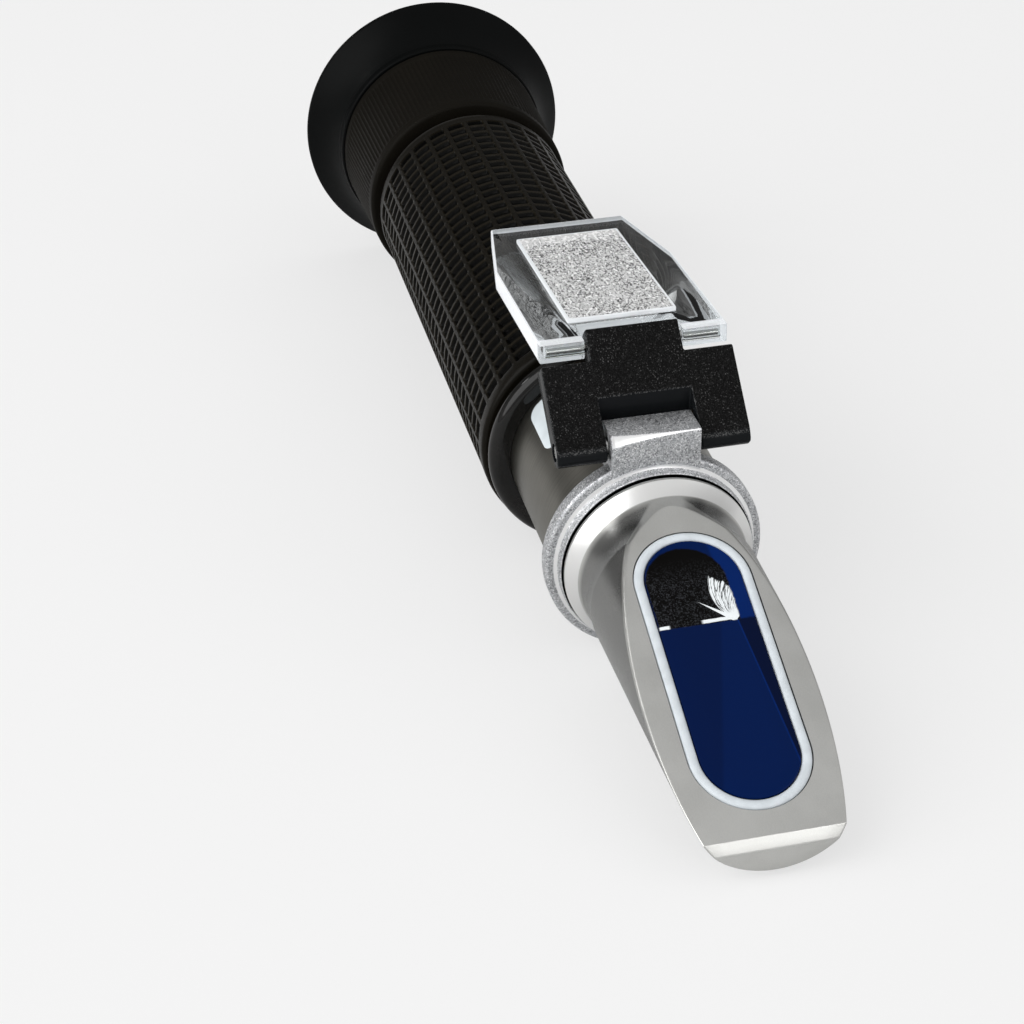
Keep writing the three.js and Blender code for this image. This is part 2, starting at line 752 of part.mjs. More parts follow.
const satinMetal = finish('#9a9a97', 0.35, 1);
const castMetal = finish('#a9a9a6', 0.55, 1);
const steel = finish('#c9c9c7', 0.25, 1);
const brass = finish('#b08d4a', 0.35, 1);
const blackAnodised = finish('#15130f', 0.4, 0.2);
const blackPlastic = finish('#161616', 0.6, 0);
const glossBlack = finish('#0b0b0b', 0.15, 0);
const rubber = finish('#181818', 0.75, 0);
const sealWhite = finish('#dce6ec', 0.5, 0);
const blueGlass = finish('#001a50', 0.08, 0);
const clearGlass = finish('#dfe9ee', 0.05, 0);
const acrylic = finish('#e6eaea', 0.1, 0);
const bimetal = finish('#8d8478', 0.4, 1);

function piece(name, geometry, material, parent) {
  const mesh = new THREE.Mesh(geometry, material);
  mesh.name = name;
  parent.add(mesh);
  return mesh;
}

const instrument = new THREE.Group();

piece('barrel_tube', barrelTube(), satinMetal, instrument);
piece('hinge_collar', hingeCollar(), castMetal, instrument);
piece('prism_housing', prismHousing(), satinMetal, instrument);
piece('measuring_prism', measuringPrism(), blueGlass, instrument);
piece('prism_seal', prismSeal(), sealWhite, instrument);
piece('head_seal_ring', headSealRing(), rubber, instrument);
piece('front_ring', frontRing(), glossBlack, instrument);
piece('grip_sleeve', gripSleeve(), blackAnodised, instrument);
piece('focus_bush', focusBush(), brass, instrument);
piece('eyepiece_tube', eyepieceTube(), blackAnodised, instrument);
piece('focus_ring', focusRing(), blackAnodised, instrument);
piece('eyecup', eyecup(), rubber, instrument);

const eyeLensFront = eyepieceBack + eyepieceFlange + closeFit + lensBulge + lensEdge;
const lensRadius = eyepieceBore - closeFit;
const fieldLensBack = eyeLensFront + lensGap;
piece('eye_lens', lens(eyeLensFront, lensRadius, 0, lensBulge), clearGlass, instrument);
piece('lens_spacer', lensRing(fieldLensBack - closeFit, lensRadius, retainerWall,
  lensGap - 2 * closeFit), blackAnodised, instrument);
piece('field_lens', lens(fieldLensBack + lensEdge, lensRadius, lensBulge, 0), clearGlass, instrument);
piece('lens_retainer', lensRing(fieldLensBack + lensEdge + fit + retainerWidth, lensRadius,
  retainerWall / 2, retainerWidth), blackAnodised, instrument);

piece('reticle_disc', rod(barrelBore - fit, reticleFront - reticleThickness, reticleFront, innerSides),
  clearGlass, instrument);
piece('reticle_ring', lensRing(reticleFront - reticleThickness - closeFit, barrelBore - fit, reticleRingWall,
  reticleRingWidth), blackAnodised, instrument);

const objectiveRadius = carriageRadius - carriageWall - closeFit;
piece('lens_carriage', lensCarriage(), blackAnodised, instrument);
piece('objective_lens', lens(screwAt - lensEdge, objectiveRadius, lensBulge, lensBulge), clearGlass, instrument);
piece('bimetal_strip', bimetalStrip(), bimetal, instrument);
piece('screw_bush', screwBush(), brass, instrument).position.x = screwAt;
piece('calibration_screw', calibrationScrew(), steel, instrument).position.x = screwAt;

// The cover, folded back over the barrel. Closed, its window lies on the seal with a small gap.
const pivotOverFace = pivotHeight * Math.cos(faceAngle) - (pivotBack + faceCrossing) * Math.sin(faceAngle);
const plateHingeOverFace = sealProud + fit + windowHeight + plateFace;
const armClosedDip = faceAngle - Math.asin((plateHingeOverFace - pivotOverFace) / armLength);

const pin = piece('arm_hinge_pin', armHingePin(), steel, instrument);
pin.position.set(-pivotBack, 0, pivotHeight);

const arm = new THREE.Group();
arm.position.set(-pivotBack, 0, pivotHeight);
arm.rotation.y = -armFold;
instrument.add(arm);
piece('cover_arm', coverArm(), blackPlastic, arm);

const plate = new THREE.Group();
plate.position.x = armLength;
plate.rotation.y = armFold - plateFold;
arm.add(plate);
piece('daylight_plate', daylightPlate(), acrylic, plate);
piece('plate_hinge_pin', plateHingePin(), steel, plate);

// It lies on the bottom facets of the eyecup's rim and the collar's front rim.
const facetShare = Math.cos(Math.PI / roundSides);
const restDrop = (cupRadius - collarRadius) * facetShare;
const restSpan = collarRimFront - collarEdge - (cupBack + cupLip);
instrument.rotation.y = Math.atan2(restDrop, restSpan);
instrument.userData = {
  armRange: THREE.MathUtils.radToDeg(armFold + armClosedDip),
  plateRange: THREE.MathUtils.radToDeg(plateFold - armFold + faceAngle - armClosedDip),
};

const refractometer = new THREE.Group();
refractometer.add(instrument);
refractometer.updateMatrixWorld(true);
const box = new THREE.Box3().setFromObject(instrument, true);
instrument.position.x = -(box.min.x + box.max.x) / 2;
instrument.position.z = -box.min.z;
refractometer.updateMatrixWorld(true);

export default refractometer;
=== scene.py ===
import json
import math
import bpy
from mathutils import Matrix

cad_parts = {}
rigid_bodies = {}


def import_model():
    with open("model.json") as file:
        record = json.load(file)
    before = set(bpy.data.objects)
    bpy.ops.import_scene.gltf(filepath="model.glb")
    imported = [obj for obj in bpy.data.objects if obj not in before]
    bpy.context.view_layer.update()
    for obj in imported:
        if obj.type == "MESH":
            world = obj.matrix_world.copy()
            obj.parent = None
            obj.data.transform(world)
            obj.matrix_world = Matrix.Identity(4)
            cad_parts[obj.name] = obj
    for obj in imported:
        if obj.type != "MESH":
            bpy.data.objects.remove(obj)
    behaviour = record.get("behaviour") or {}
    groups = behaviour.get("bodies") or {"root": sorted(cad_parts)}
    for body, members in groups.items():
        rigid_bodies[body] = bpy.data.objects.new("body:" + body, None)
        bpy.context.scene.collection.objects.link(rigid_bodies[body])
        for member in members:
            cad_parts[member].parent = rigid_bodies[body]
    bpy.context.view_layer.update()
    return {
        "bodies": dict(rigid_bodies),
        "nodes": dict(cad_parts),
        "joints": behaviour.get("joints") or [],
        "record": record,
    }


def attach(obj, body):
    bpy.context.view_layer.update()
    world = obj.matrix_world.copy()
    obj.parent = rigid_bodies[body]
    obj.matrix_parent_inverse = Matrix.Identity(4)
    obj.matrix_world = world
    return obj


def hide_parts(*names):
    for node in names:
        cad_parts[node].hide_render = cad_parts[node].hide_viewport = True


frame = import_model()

from types import SimpleNamespace

import bmesh
import bpy
import numpy as np
from bpy.props import FloatProperty, FloatVectorProperty, IntProperty, PointerProperty

bl_info = {
    "name": "Handheld Refractometer",
    "version": (1, 0, 0),
    "blender": (4, 5, 0),
    "location": "3D View > Sidebar > Refractometer",
    "description": "Builds the pieces of a handheld refractometer over its solid model",
    "category": "Object",
}

MM = 0.001

FINE = 192          # sides of the wide turned pieces
CREASE = 32.0       # degrees: sharper edges stay sharp
HEAD_CREASE = 26.0
BEYOND = 2.0        # mm by which a cutting tool passes what it cuts
WELD = 1e-8         # m: points closer than this are one
ROOM = 0.15         # mm between pieces that sit in each other
MOVING_ROOM = 0.3   # mm between pieces that move past each other
TIP_EDGE = 0.16     # mm, rounding of the head's cut-off tip
NO_CUT = 99.0       # a height over the whole head

# Soft lamps: name, place, size in metres, power in watts.
LAMPS = [("key", (0.30, -0.95, 0.66), 1.3, 9.5), ("fill", (0.55, 0.75, 0.6), 0.7, 1.2),
         ("front", (1.0, 0.27, 0.50), 0.3, 1.0), ("glint", (-0.50, -0.75, 0.6), 0.12, 0.4)]
# Grey levels of the studio tent, by the height and by the x of the direction, each from -1 to 1.
TENT_BY_HEIGHT = ((0.0, 0.62), (0.4, 0.56), (1.0, 0.75))
TENT_BY_X = ((-0.75, 0.28), (-0.15, 0.95), (1.0, 1.0))
FLOOR_LIFT = 0.62   # share of white in the floor where it is seen directly
FOCAL_LENGTH = 78.5636                          # mm, for a sensor 36 mm wide
CAMERA_PLACE = (0.249299, -0.060343, 0.138836)  # m
CAMERA_TURN = (60.7162, 1.6003, 77.028)         # degrees about X, Y and Z


# ---------------------------------------------------------------- sizes and colours

def length(name, description, millimetres):
    """A length property in metres, written here in millimetres."""
    return FloatProperty(name=name, description=description, default=millimetres * MM, unit="LENGTH",
                         precision=5, min=0.0)


def degrees(name, description, value):
    """An angle property, written here in degrees."""
    return FloatProperty(name=name, description=description, default=math.radians(value), subtype="ANGLE")


def count(name, description, value):
    return IntProperty(name=name, description=description, default=value, min=3)


def factor(name, description, value):
    return FloatProperty(name=name, description=description, default=value, min=0.0, max=1.0, subtype="FACTOR")


def linear(code):
    """The linear colour of a code such as #8A8985."""
    parts = [int(code[k:k + 2], 16) / 255 for k in (1, 3, 5)]
    return tuple(p / 12.92 if p <= 0.04045 else ((p + 0.055) / 1.055) ** 2.4 for p in parts)


def colour(name, description, code):
    return FloatVectorProperty(name=name, description=description, default=linear(code), subtype="COLOR",
                               size=3, min=0.0, max=1.0)


def properties(kind, **table):
    """Properties of one kind from a table: each row's key gives the name, then come its value and description."""
    return {key: kind(key.replace("_", " ").capitalize(), description, value)
            for key, (value, description) in table.items()}


class TubeSizes(bpy.types.PropertyGroup):
    """The metal tube, the round ring in front of the grip, and the pale strip on the tube."""
    __annotations__ = properties(
        length,
        radius=(11, "Outside radius of the metal tube"),
        wall=(1.6, "Thickness of the tube's wall"),
        front=(2.65, "Depth of the tube's end behind the collar's front face"),
        back=(98.2, "Depth of the tube's far end"),
        bush_at=(14.5, "Depth of the calibration bush"),
        bush_hole=(3.1, "Radius of the hole for the calibration bush"),
        ring_front=(24.7, "Depth of the round ring's front"),
        ring_width=(2.5, "Width of the round ring"),
        ring_radius=(13.5, "Outside radius of the round ring"),
        strip_from=(14.8, "Depth at which the pale strip starts"),
        strip_to=(24.0, "Depth at which the pale strip ends"),
        strip_corner=(1.6, "Radius of the strip's corners"),
        strip_thickness=(0.07, "Thickness of the strip")) | properties(
        degrees,
        strip_low=(54, "Angle of the strip's lower edge from the top"),
        strip_high=(18.5, "Angle of the strip's upper edge from the top"))


class CollarSizes(bpy.types.PropertyGroup):
    """The collar at the tube's front, with its boss for the hinge."""
    __annotations__ = properties(
        length,
        radius=(12.489, "Outside radius of the collar"),
        rim=(1.3, "Depth of the collar's front rim"),
        back=(3.4, "Depth of the collar's back face"),
        neck=(11.15, "Outside radius of the neck in front of the rim"),
        flare=(0.5, "Width of the bevel between the rim and the neck"),
        bore=(9.4, "Radius of the hole in the neck"),
        seat=(11.3, "Radius of the hole that takes the tube"),
        shoulder=(2.5, "Depth of the shoulder against which the tube ends"),
        edge=(0.4, "Width of the collar's broken edges"),
        boss_half=(5, "Half the boss's width"),
        boss_front=(1.2, "Depth of the boss's front face"),
        boss_back=(5.9, "Depth of the boss's back face"),
        boss_top=(15.5, "Height of the boss's top over the axis"),
        boss_bevel=(1.25, "Height of the boss's front bevel at its wide end"),
        boss_bevel_run=(0.8, "Length of the boss's front bevel at its wide end"),
        pivot_back=(3.4, "Depth of the arm's pivot"),
        pivot_high=(13.5, "Height of the arm's pivot over the axis"),
        pin=(0.8, "Radius of the arm's pin"),
        pin_room=(0.22, "Clearance round the arm's pin"))


class HeadSizes(bpy.types.PropertyGroup):
    """The slanted head with its prism and seal."""
    __annotations__ = properties(
        length,
        radius=(9.75, "Radius of the head's body behind the taper"),
        taper=(0.75, "Drop of the radius from back to tip"),
        reach=(42.3, "Length from the collar to the tip"),
        flange=(10.85, "Radius of the flange"),
        flange_start=(0.3, "Place of the flange's back face"),
        flange_edge=(0.4, "Width of the flange's cylindrical edge"),
        flange_run=(1.7, "Length of the flange's chamfer"),
        cove_length=(5, "Length of the hollow neck"),
        cove_depth=(0.3, "Depth of the hollow neck"),
        spigot=(9, "Length of the spigot inside the collar"),
        spigot_radius=(9.1, "Radius of the spigot"),
        groove=(0.9, "Depth of the ring groove in the spigot"),
        groove_width=(1.6, "Width of the ring groove"),
        face_crossing=(28.2, "Place where the slanted face crosses the axis"),
        face_edge=(0.28, "Rounding of the slanted face's edge"),
        tip_chamfer=(0.9, "Height of the chamfer at the tip"),
        prism_half=(5.2, "Half the prism's width"),
        prism_length=(31.5, "Length of the prism"),
        prism_offset=(5.55, "How far the prism's middle lies up-slope of the crossing"),
        prism_floor=(6.2, "Depth of the prism's flat underside below the axis"),
        prism_depth=(8, "Depth of the prism under the slanted face"),
        seal_width=(1.1, "Width of the seal"),
        seal_depth=(1.5, "Depth of the seal"),
        seal_proud=(0.15, "Height of the seal over the slanted face"),
        gap=(0.15, "Gap round the cemented pieces"),
        light_bore=(5, "Radius of the hole behind the prism")) | properties(
        degrees,
        face_angle=(21.2, "Slope of the slanted face"))


class CoverSizes(bpy.types.PropertyGroup):
    """The black arm and the clear plate."""
    __annotations__ = properties(
        length,
        arm_length=(11.6, "Distance between the arm's two pins"),
        arm_half=(10.9, "Half the arm's width"),
        arm_thick=(1.35, "Half the arm's thickness"),
        arm_edge=(0.28, "Rounding of the arm's edges"),
        nose=(1.8, "Reach of the rounded nose past the pivot"),
        notch=(5.2, "Depth of the notch round the boss"),
        notch_foot=(3.1, "Depth of the notch on the arm's far side"),
        notch_half=(5.3, "Half the notch's width"),
        shoulder=(9.4, "Where the arm narrows to its tongue"),
        tongue=(13.1, "Reach of the tongue past the pivot"),
        plate_length=(34.2, "Length of the plate from its pin"),
        plate_half=(10.7, "Half the plate's width at the hinge"),
        plate_tip=(8.3, "Half the plate's width at its end"),
        plate_straight=(20.7, "Length of the plate's straight sides"),
        plate_face=(1.2, "Thickness on the window's side of the pin"),
        plate_back=(1.0, "Thickness on the other side of the pin"),
        knuckle=(1.2, "Reach of the knuckles past the pin"),
        plate_notch=(3.4, "Depth of the notch round the arm's tongue"),
        plate_edge=(0.14, "Rounding of the plate's edges"),
        window_from=(3.7, "Where the raised window starts"),
        window_to=(29.0, "Where the raised window ends"),
        window_half=(6.3, "Half the window's width"),
        window_high=(0.5, "Height of the raised window"),
        window_rim=(0.3, "Width of the clear rim round the frosting"),
        pin=(0.5, "Radius of the plate's pin"),
        pin_room=(0.22, "Clearance round the plate's pin"),
        pin_inset=(0.9, "How far the pin ends inside the plate's sides")) | properties(
        degrees,
        arm_fold=(137, "Turn of the arm from closed"),
        plate_fold=(184.2, "Turn of the plate from closed"))


class GripSizes(bpy.types.PropertyGroup):
    """The moulded sleeve with its grid of recesses."""
    __annotations__ = properties(
        length,
        front=(27.5, "Depth of the grip's front end"),
        back=(97.2, "Depth of the grip's back end"),
        radius=(13.9, "Outside radius of the ribs"),
        bore=(11.1, "Radius of the sleeve's hole"),
        chamfer=(0.6, "Width of the chamfers at the ends"),
        margin=(2.0, "Width of the plain bands at the ends"),
        depth=(0.6, "Depth of the recesses")) | properties(
        count,
        columns=(30, "Recesses round the grip"),
        rows=(31, "Recesses along the grip")) | properties(
        factor,
        cross_share=(0.84, "Height of the cross ribs against the long ribs"))


class EyepieceSizes(bpy.types.PropertyGroup):
    """The focusing ring, the eyecup and the eyepiece that shows in it."""
    __annotations__ = properties(
        length,
        front=(99.2, "Depth of the focusing ring's front face"),
        reach=(19.7, "Length of the focusing ring"),
        front_radius=(14.7, "Radius of the focusing ring at its front"),
        back_radius=(15.4, "Radius of the focusing ring at its back"),
        bore=(11.7, "Radius of the hole that runs over the tube"),
        web=(5.4, "Thickness of the web round the eyepiece"),
        edge=(0.6, "Rounding of the focusing ring's front edge"),
        front_rim=(1.6, "Width of the plain front rim"),
        back_rim=(1.2, "Width of the plain back rim"),
        serration_depth=(0.14, "Depth of the serrations"),
        spigot_radius=(13.1, "Radius of the spigot that carries the eyecup"),
        spigot=(2.8, "Length of that spigot"),
        cup_radius=(19.904, "Outside radius of the eyecup's rim"),
        cup_depth=(9.0, "Depth of the eyecup"),
        cup_foot=(15.75, "Radius of the eyecup's foot"),
        cup_foot_length=(1.6, "Length of the eyecup's foot"),
        cup_sag=(0.5, "Hollow of the flared side"),
        cup_lip=(1.3, "Thickness of the rolled lip"),
        cup_wall=(1.1, "Thickness of the eyecup's wall"),
        cup_floor=(0.9, "Thickness of the eyecup's floor"),
        cup_opening=(9.0, "Radius of the opening in the floor"),
        cup_gap=(0.3, "Gap between the focusing ring and the eyecup"),
        tube_radius=(7.9, "Outside radius of the eyepiece tube"),
        tube_bore=(6.9, "Radius of the eyepiece tube's hole"),
        tube_front=(84.2, "Depth of the eyepiece tube's front end"),
        flange=(1.3, "Thickness of the eyepiece's flange"),
        flange_radius=(8.7, "Radius of the eyepiece's flange"),
        lens_bulge=(1.1, "Bulge of the eye lens"),
        lens_edge=(2.0, "Thickness of the eye lens at its edge")) | properties(
        count,
        serrations=(132, "Fine serrations round the focusing ring"))


class ScrewSizes(bpy.types.PropertyGroup):
    """The calibration screw in its bush."""
    __annotations__ = properties(
        length,
        bush=(2.95, "Outside radius of the bush"),
        bush_low=(9.55, "Height of the bush's foot over the axis"),
        bush_top=(11.6, "Height of the bush's top over the axis"),
        seat=(10.15, "Height of the seat under the screw's head"),
        head=(1.9, "Radius of the screw's head"),
        head_top=(11.3, "Height of the screw's top over the axis"),
        head_high=(1.0, "Height of the screw's head"),
        stem=(1.0, "Radius of the screw's stem"),
        stem_low=(7.55, "Height of the stem's foot over the axis"),
        slot=(0.6, "Width of the screw's slot"),
        slot_deep=(0.5, "Depth of the screw's slot"))


class Finishes(bpy.types.PropertyGroup):
    """Colours of the finishes."""
    __annotations__ = properties(
        colour,
        tube=("#83817A", "Satin metal of the tube"),
        tube_shade=("#6B6963", "Darker turning lines of the tube"),
        cast=("#DCDDDF", "Bead-blasted metal"),
        cast_shade=("#ABADB0", "Darker grains of the blasted metal"),
        head=("#CFCFCC", "Fine satin metal of the head"),
        head_shade=("#BDBDBA", "Darker streaks of the head"),
        # The grip's browner ribs are partly wear and partly painted sheen; the near-black of its recesses is painted
        # shade.
        grip=("#1B170F", "Brownish black of the grip's ribs"),
        grip_shade=("#040403", "Near-black of the grip's recesses"),
        gloss=("#080807", "Polished black of the round ring"),
        focus=("#100E0A", "Brownish black of the focusing ring"),
        cup=("#040505", "Black rubber of the eyecup"),
        arm=("#080808", "Black of the arm"),
        # Colour of the arm's painted glints.
        arm_spark=("#565656", "Bright grains of the arm"),
        acrylic=("#F4F7F7", "Clear acrylic"),
        frost=("#D0D0D0", "Frosted window"),
        frost_shade=("#2B2B2C", "Dark speckle of the frosting"),
        seal=("#D6DDE2", "Pale sealing compound"),
        navy=("#001848", "Deep blue of the prism"),
        navy_light=("#00215F", "Lighter blue of the prism's far edge"),
        strip=("#E6EFF3", "Pale blue strip on the tube"),
        steel=("#C9C9C7", "Turned steel"),
        brass=("#B99A5C", "Turned brass"),
        floor=("#E6E6E6", "Pale floor"))


GROUPS = {"tube": TubeSizes, "collar": CollarSizes, "head": HeadSizes, "cover": CoverSizes, "grip": GripSizes,
          "eyepiece": EyepieceSizes, "screw": ScrewSizes, "finish": Finishes}


class Refractometer(bpy.types.PropertyGroup):
    """All sizes and colours of the instrument."""
    __annotations__ = {name: PointerProperty(name=name.title(), description=group.__doc__, type=group)
                       for name, group in GROUPS.items()}


def sizes(name):
    """A group's sizes as plain numbers: lengths in millimetres, angles in radians."""
    group = getattr(bpy.context.scene.refractometer, name)
    plain = {}
    for key in type(group).__annotations__:
        value = getattr(group, key)
        is_length = group.bl_rna.properties[key].unit == "LENGTH"
        plain[key] = value / MM if is_length else value
    return SimpleNamespace(**plain)


# ---------------------------------------------------------------- places

def joint(name):
    return next(j for j in frame["joints"] if j["name"] == name)


AXIS = -np.array(joint("focus_travel")["axis"])
UP = np.array(joint("calibration_turn")["axis"])
SIDE = np.array([0.0, 1.0, 0.0])
LEAN = math.atan2(UP[0], UP[2])


def along_axis(points):
    """Instrument points in mm (x along the axis, y sideways, z up from the axis) as they are."""
    return points


def turned_about_y(points, angle, origin):
    """Points turned about Y by the angle, then moved to the origin."""
    c, s = math.cos(angle), math.sin(angle)
    x, y, z = points[..., 0], points[..., 1], points[..., 2]
    return np.stack([c * x + s * z + origin[0], y + origin[1], c * z - s * x + origin[2]], -1)


def to_world(points):
    """Instrument points in mm as world points in metres. The arm's pivot ties the two together."""
    collar = sizes("collar")
    pivot = np.array(joint("arm_hinge")["pos_m"])
    origin = pivot + MM * (collar.pivot_back * AXIS - collar.pivot_high * UP)
    return origin + MM * (points @ np.stack([AXIS, SIDE, UP]))


# The frames of moving and slanted parts are given as a turn about Y and an origin on the instrument.

def face_frame():
    """The slanted face: x down the slope, z out of the face."""
    head = sizes("head")
    return head.face_angle, (head.face_crossing, 0.0, 0.0)


def arm_frame():
    """The arm: x towards the plate's pin, z away from the prism when closed."""
    collar = sizes("collar")
    return -sizes("cover").arm_fold, (-collar.pivot_back, 0.0, collar.pivot_high)


def plate_frame():
    """The plate: x away from its pin, window on the -z side."""
    cover = sizes("cover")
    hinge = on_arm(np.array([cover.arm_length, 0.0, 0.0]))
    return -cover.plate_fold, tuple(hinge)


def on_face(points):
    """From the slanted face's frame to the instrument."""
    return turned_about_y(points, *face_frame())


def on_arm(points):
    """From the arm's frame to the instrument."""
    return turned_about_y(points, *arm_frame())


def on_plate(points):
    """From the plate's frame to the instrument."""
    return turned_about_y(points, *plate_frame())


def crossways(place, x=0.0, z=0.0):
    """A frame whose turning axis runs sideways through x, z of the given frame."""
    return lambda points: place(points[..., [1, 0, 2]] + np.array([x, 0.0, z]))


def upright(x):
    """A frame whose turning axis runs upwards through the tube's axis at x."""
    return lambda points: points[..., [1, 2, 0]] + np.array([x, 0.0, 0.0])


# ---------------------------------------------------------------- surfaces

def rectangle(x, y):
    """The corners of a rectangle between pairs of x and y."""
    return [(x[0], y[0]), (x[1], y[0]), (x[1], y[1]), (x[0], y[1])]


def outline(corners, closed=True, steps=5):
    """Corners (a, b, radius) as a smooth outline: each is replaced by the arc that touches both its sides. The arc
    takes up just under half of the shorter side at most, and an almost straight corner stays as it is."""
    points = np.array([c[:2] for c in corners], float)
    parts = []
    for i, (point, corner) in enumerate(zip(points, corners)):
        radius = corner[2] if len(corner) > 2 else 0
        at_end = not closed and i in (0, len(points) - 1)
        if radius <= 0 or at_end:
            parts.append(point[None])
            continue
        before, after = points[i - 1] - point, points[(i + 1) % len(points)] - point
        reach = min(np.linalg.norm(before), np.linalg.norm(after)) * 0.49
        before, after = before / np.linalg.norm(before), after / np.linalg.norm(after)
        half = math.acos(np.clip(before @ after, -1, 1)) / 2
        if half > math.pi / 2 - 0.01:
            parts.append(point[None])
            continue
        run = min(radius / math.tan(half), reach)
        middle = point + (before + after) / np.linalg.norm(before + after) * run / math.cos(half)
        start = point + before * run - middle
        sweep = (math.pi - 2 * half) * (-1 if before[0] * after[1] - before[1] * after[0] > 0 else 1)
        turn = np.linspace(0, sweep, steps + 1)[:, None]
        side = np.array([-start[1], start[0]])
        parts.append(middle + start * np.cos(turn) + side * np.sin(turn))
    return np.concatenate(parts)


def curve(first, corner, last, t):
    """A quadratic curve from first to last, which touches both sides of the corner."""
    return (1 - t) ** 2 * first + 2 * t * (1 - t) * corner + t ** 2 * last


def make_mesh(name, grid, ring=False, caps=0, place=along_axis):
    """A closed mesh in the world frame from rows of points in mm. Quads join the rows and close round each row.
    A ring also joins its last row to its first, and one or two caps close the first row and the last. The faces
    are turned outwards by the mesh's signed volume."""
    grid = np.asarray(grid, float)
    rows, columns = grid.shape[:2]
    numbers = np.arange(rows * columns).reshape(rows, columns)
    ends = [numbers[0].tolist(), numbers[-1, ::-1].tolist()]
    if ring:
        numbers = np.concatenate([numbers, numbers[:1]], 0)
    numbers = np.concatenate([numbers, numbers[:, :1]], 1)
    corners = [numbers[:-1, :-1], numbers[1:, :-1], numbers[1:, 1:], numbers[:-1, 1:]]
    faces = np.stack([c.ravel() for c in corners], -1).tolist() + ends[:caps]
    mesh = bpy.data.meshes.new(name)
    mesh.from_pydata(to_world(place(grid)).reshape(-1, 3).tolist(), [], faces)
    shell = bmesh.new()
    shell.from_mesh(mesh)
    bmesh.ops.remove_doubles(shell, verts=shell.verts, dist=WELD)
    if shell.calc_volume(signed=True) < 0:
        bmesh.ops.reverse_faces(shell, faces=shell.faces)
    shell.to_mesh(mesh)
    shell.free()
    mesh.validate()
    return mesh


def round_steps(sides):
    """Equal steps of the angle once round."""
    return np.arange(sides) * (2 * math.pi / sides)


def around(x, radius, angle):
    """Points turned about the x axis: (x, r sin a, r cos a)."""
    return np.stack(np.broadcast_arrays(x, radius * np.sin(angle), radius * np.cos(angle)), -1)


def lathe(name, profile, sides=FINE, ring=True, place=along_axis):
    """A profile of (x, radius) turned once round the frame's x axis."""
    x, radius = np.asarray(profile, float).T[..., None]
    return make_mesh(name, around(x, radius, round_steps(sides)), ring=ring, place=place)


def rod(name, start, end, radius, edge=0.0, sides=48, place=along_axis):
    """A round bar between two places of the frame's x axis, with broken end edges."""
    profile = [(start, 0), (start, radius - edge), (start + edge, radius), (end - edge, radius),
               (end, radius - edge), (end, 0)]
    return lathe(name, profile, sides, ring=False, place=place)


def at_level(shape, z):
    """An outline in x and y as points at the height z."""
    return np.concatenate([shape, np.full((len(shape), 1), float(z))], 1)


def plank(name, shape, low, high, place=along_axis):
    """An outline in x and y carried upwards from low to high, with flat ends."""
    return make_mesh(name, [at_level(shape, z) for z in (low, high)], caps=2, place=place)


def slab(name, shape, half_width, place):
    """An outline in x and z carried sideways from -half_width to half_width, with flat ends."""
    ends = [at_level(shape, y)[:, [0, 2, 1]] for y in (-half_width, half_width)]
    return make_mesh(name, ends, caps=2, place=place)


def prism_outline(h, grown, arc_points=33, side_points=24):
    """The prism's outline in the slanted face, grown by a width: two half circles joined by straight sides."""
    half = h.prism_half + grown
    straight = h.prism_length / 2 - h.prism_half
    turn = np.linspace(-math.pi / 2, math.pi / 2, arc_points)
    share = np.linspace(-1, 1, side_points + 2)[1:-1]
    right = np.stack([straight + half * np.cos(turn), half * np.sin(turn)], -1)
    top = np.stack([-straight * share, np.full(side_points, half)], -1)
    return np.concatenate([right, top, -right, -top]) - np.array([h.prism_offset, 0.0])


# ---------------------------------------------------------------- objects

def new_object(mesh):
    thing = bpy.data.objects.new(mesh.name, mesh)
    bpy.context.scene.collection.objects.link(thing)
    return thing


def settle(thing, crease=CREASE):
    """Applies the object's modifiers and shades it smooth except over creases."""
    if thing.modifiers:
        bpy.context.view_layer.update()
        ready = thing.evaluated_get(bpy.context.evaluated_depsgraph_get())
        mesh = bpy.data.meshes.new_from_object(ready)
        mesh.name = thing.name
        thing.modifiers.clear()
        thing.data = mesh
    mesh = thing.data
    mesh.polygons.foreach_set("use_smooth", np.ones(len(mesh.polygons), bool))
    mesh.set_sharp_from_angle(angle=math.radians(crease))
    return thing


def shaped(thing, operation, *tools):
    """Cuts the tools from a piece, or joins them to it, and applies the result."""
    others = [new_object(tool) for tool in tools]
    for other in others:
        modifier = thing.modifiers.new("shape", "BOOLEAN")
        modifier.object = other
        modifier.operation = operation
        modifier.solver = "EXACT"
    settle(thing)
    for other in others:
        bpy.data.objects.remove(other)
    return thing


def rounded(thing, width, segments, crease):
    """Rounds a piece's sharp edges by the width in mm."""
    modifier = thing.modifiers.new("edge", "BEVEL")
    modifier.width, modifier.segments = width * MM, segments
    modifier.limit_method, modifier.angle_limit = "ANGLE", math.radians(crease)
    modifier.use_clamp_overlap = True
    return settle(thing)


def finished(thing, body, slot, finish, *nodes):
    """Gives a piece its finish and its body, and hides the nodes of the solid model that it stands for."""
    if not thing.data.polygons:
        raise RuntimeError(thing.name + " came out empty")
    thing.data.materials.clear()
    thing.data.materials.append(look(finish))
    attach(thing, body)
    if nodes:
        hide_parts(*nodes)


def piece(mesh, body, slot, finish, *nodes, crease=CREASE):
    """A mesh as a finished piece, smooth except over creases."""
    finished(settle(new_object(mesh), crease), body, slot, finish, *nodes)


def repaint(finish, *nodes):
    """Gives nodes of the solid model a finer finish of the same slot."""
    for node in nodes:
        for slot in frame["nodes"][node].material_slots:
            slot.material = look(finish)


# ---------------------------------------------------------------- finishes

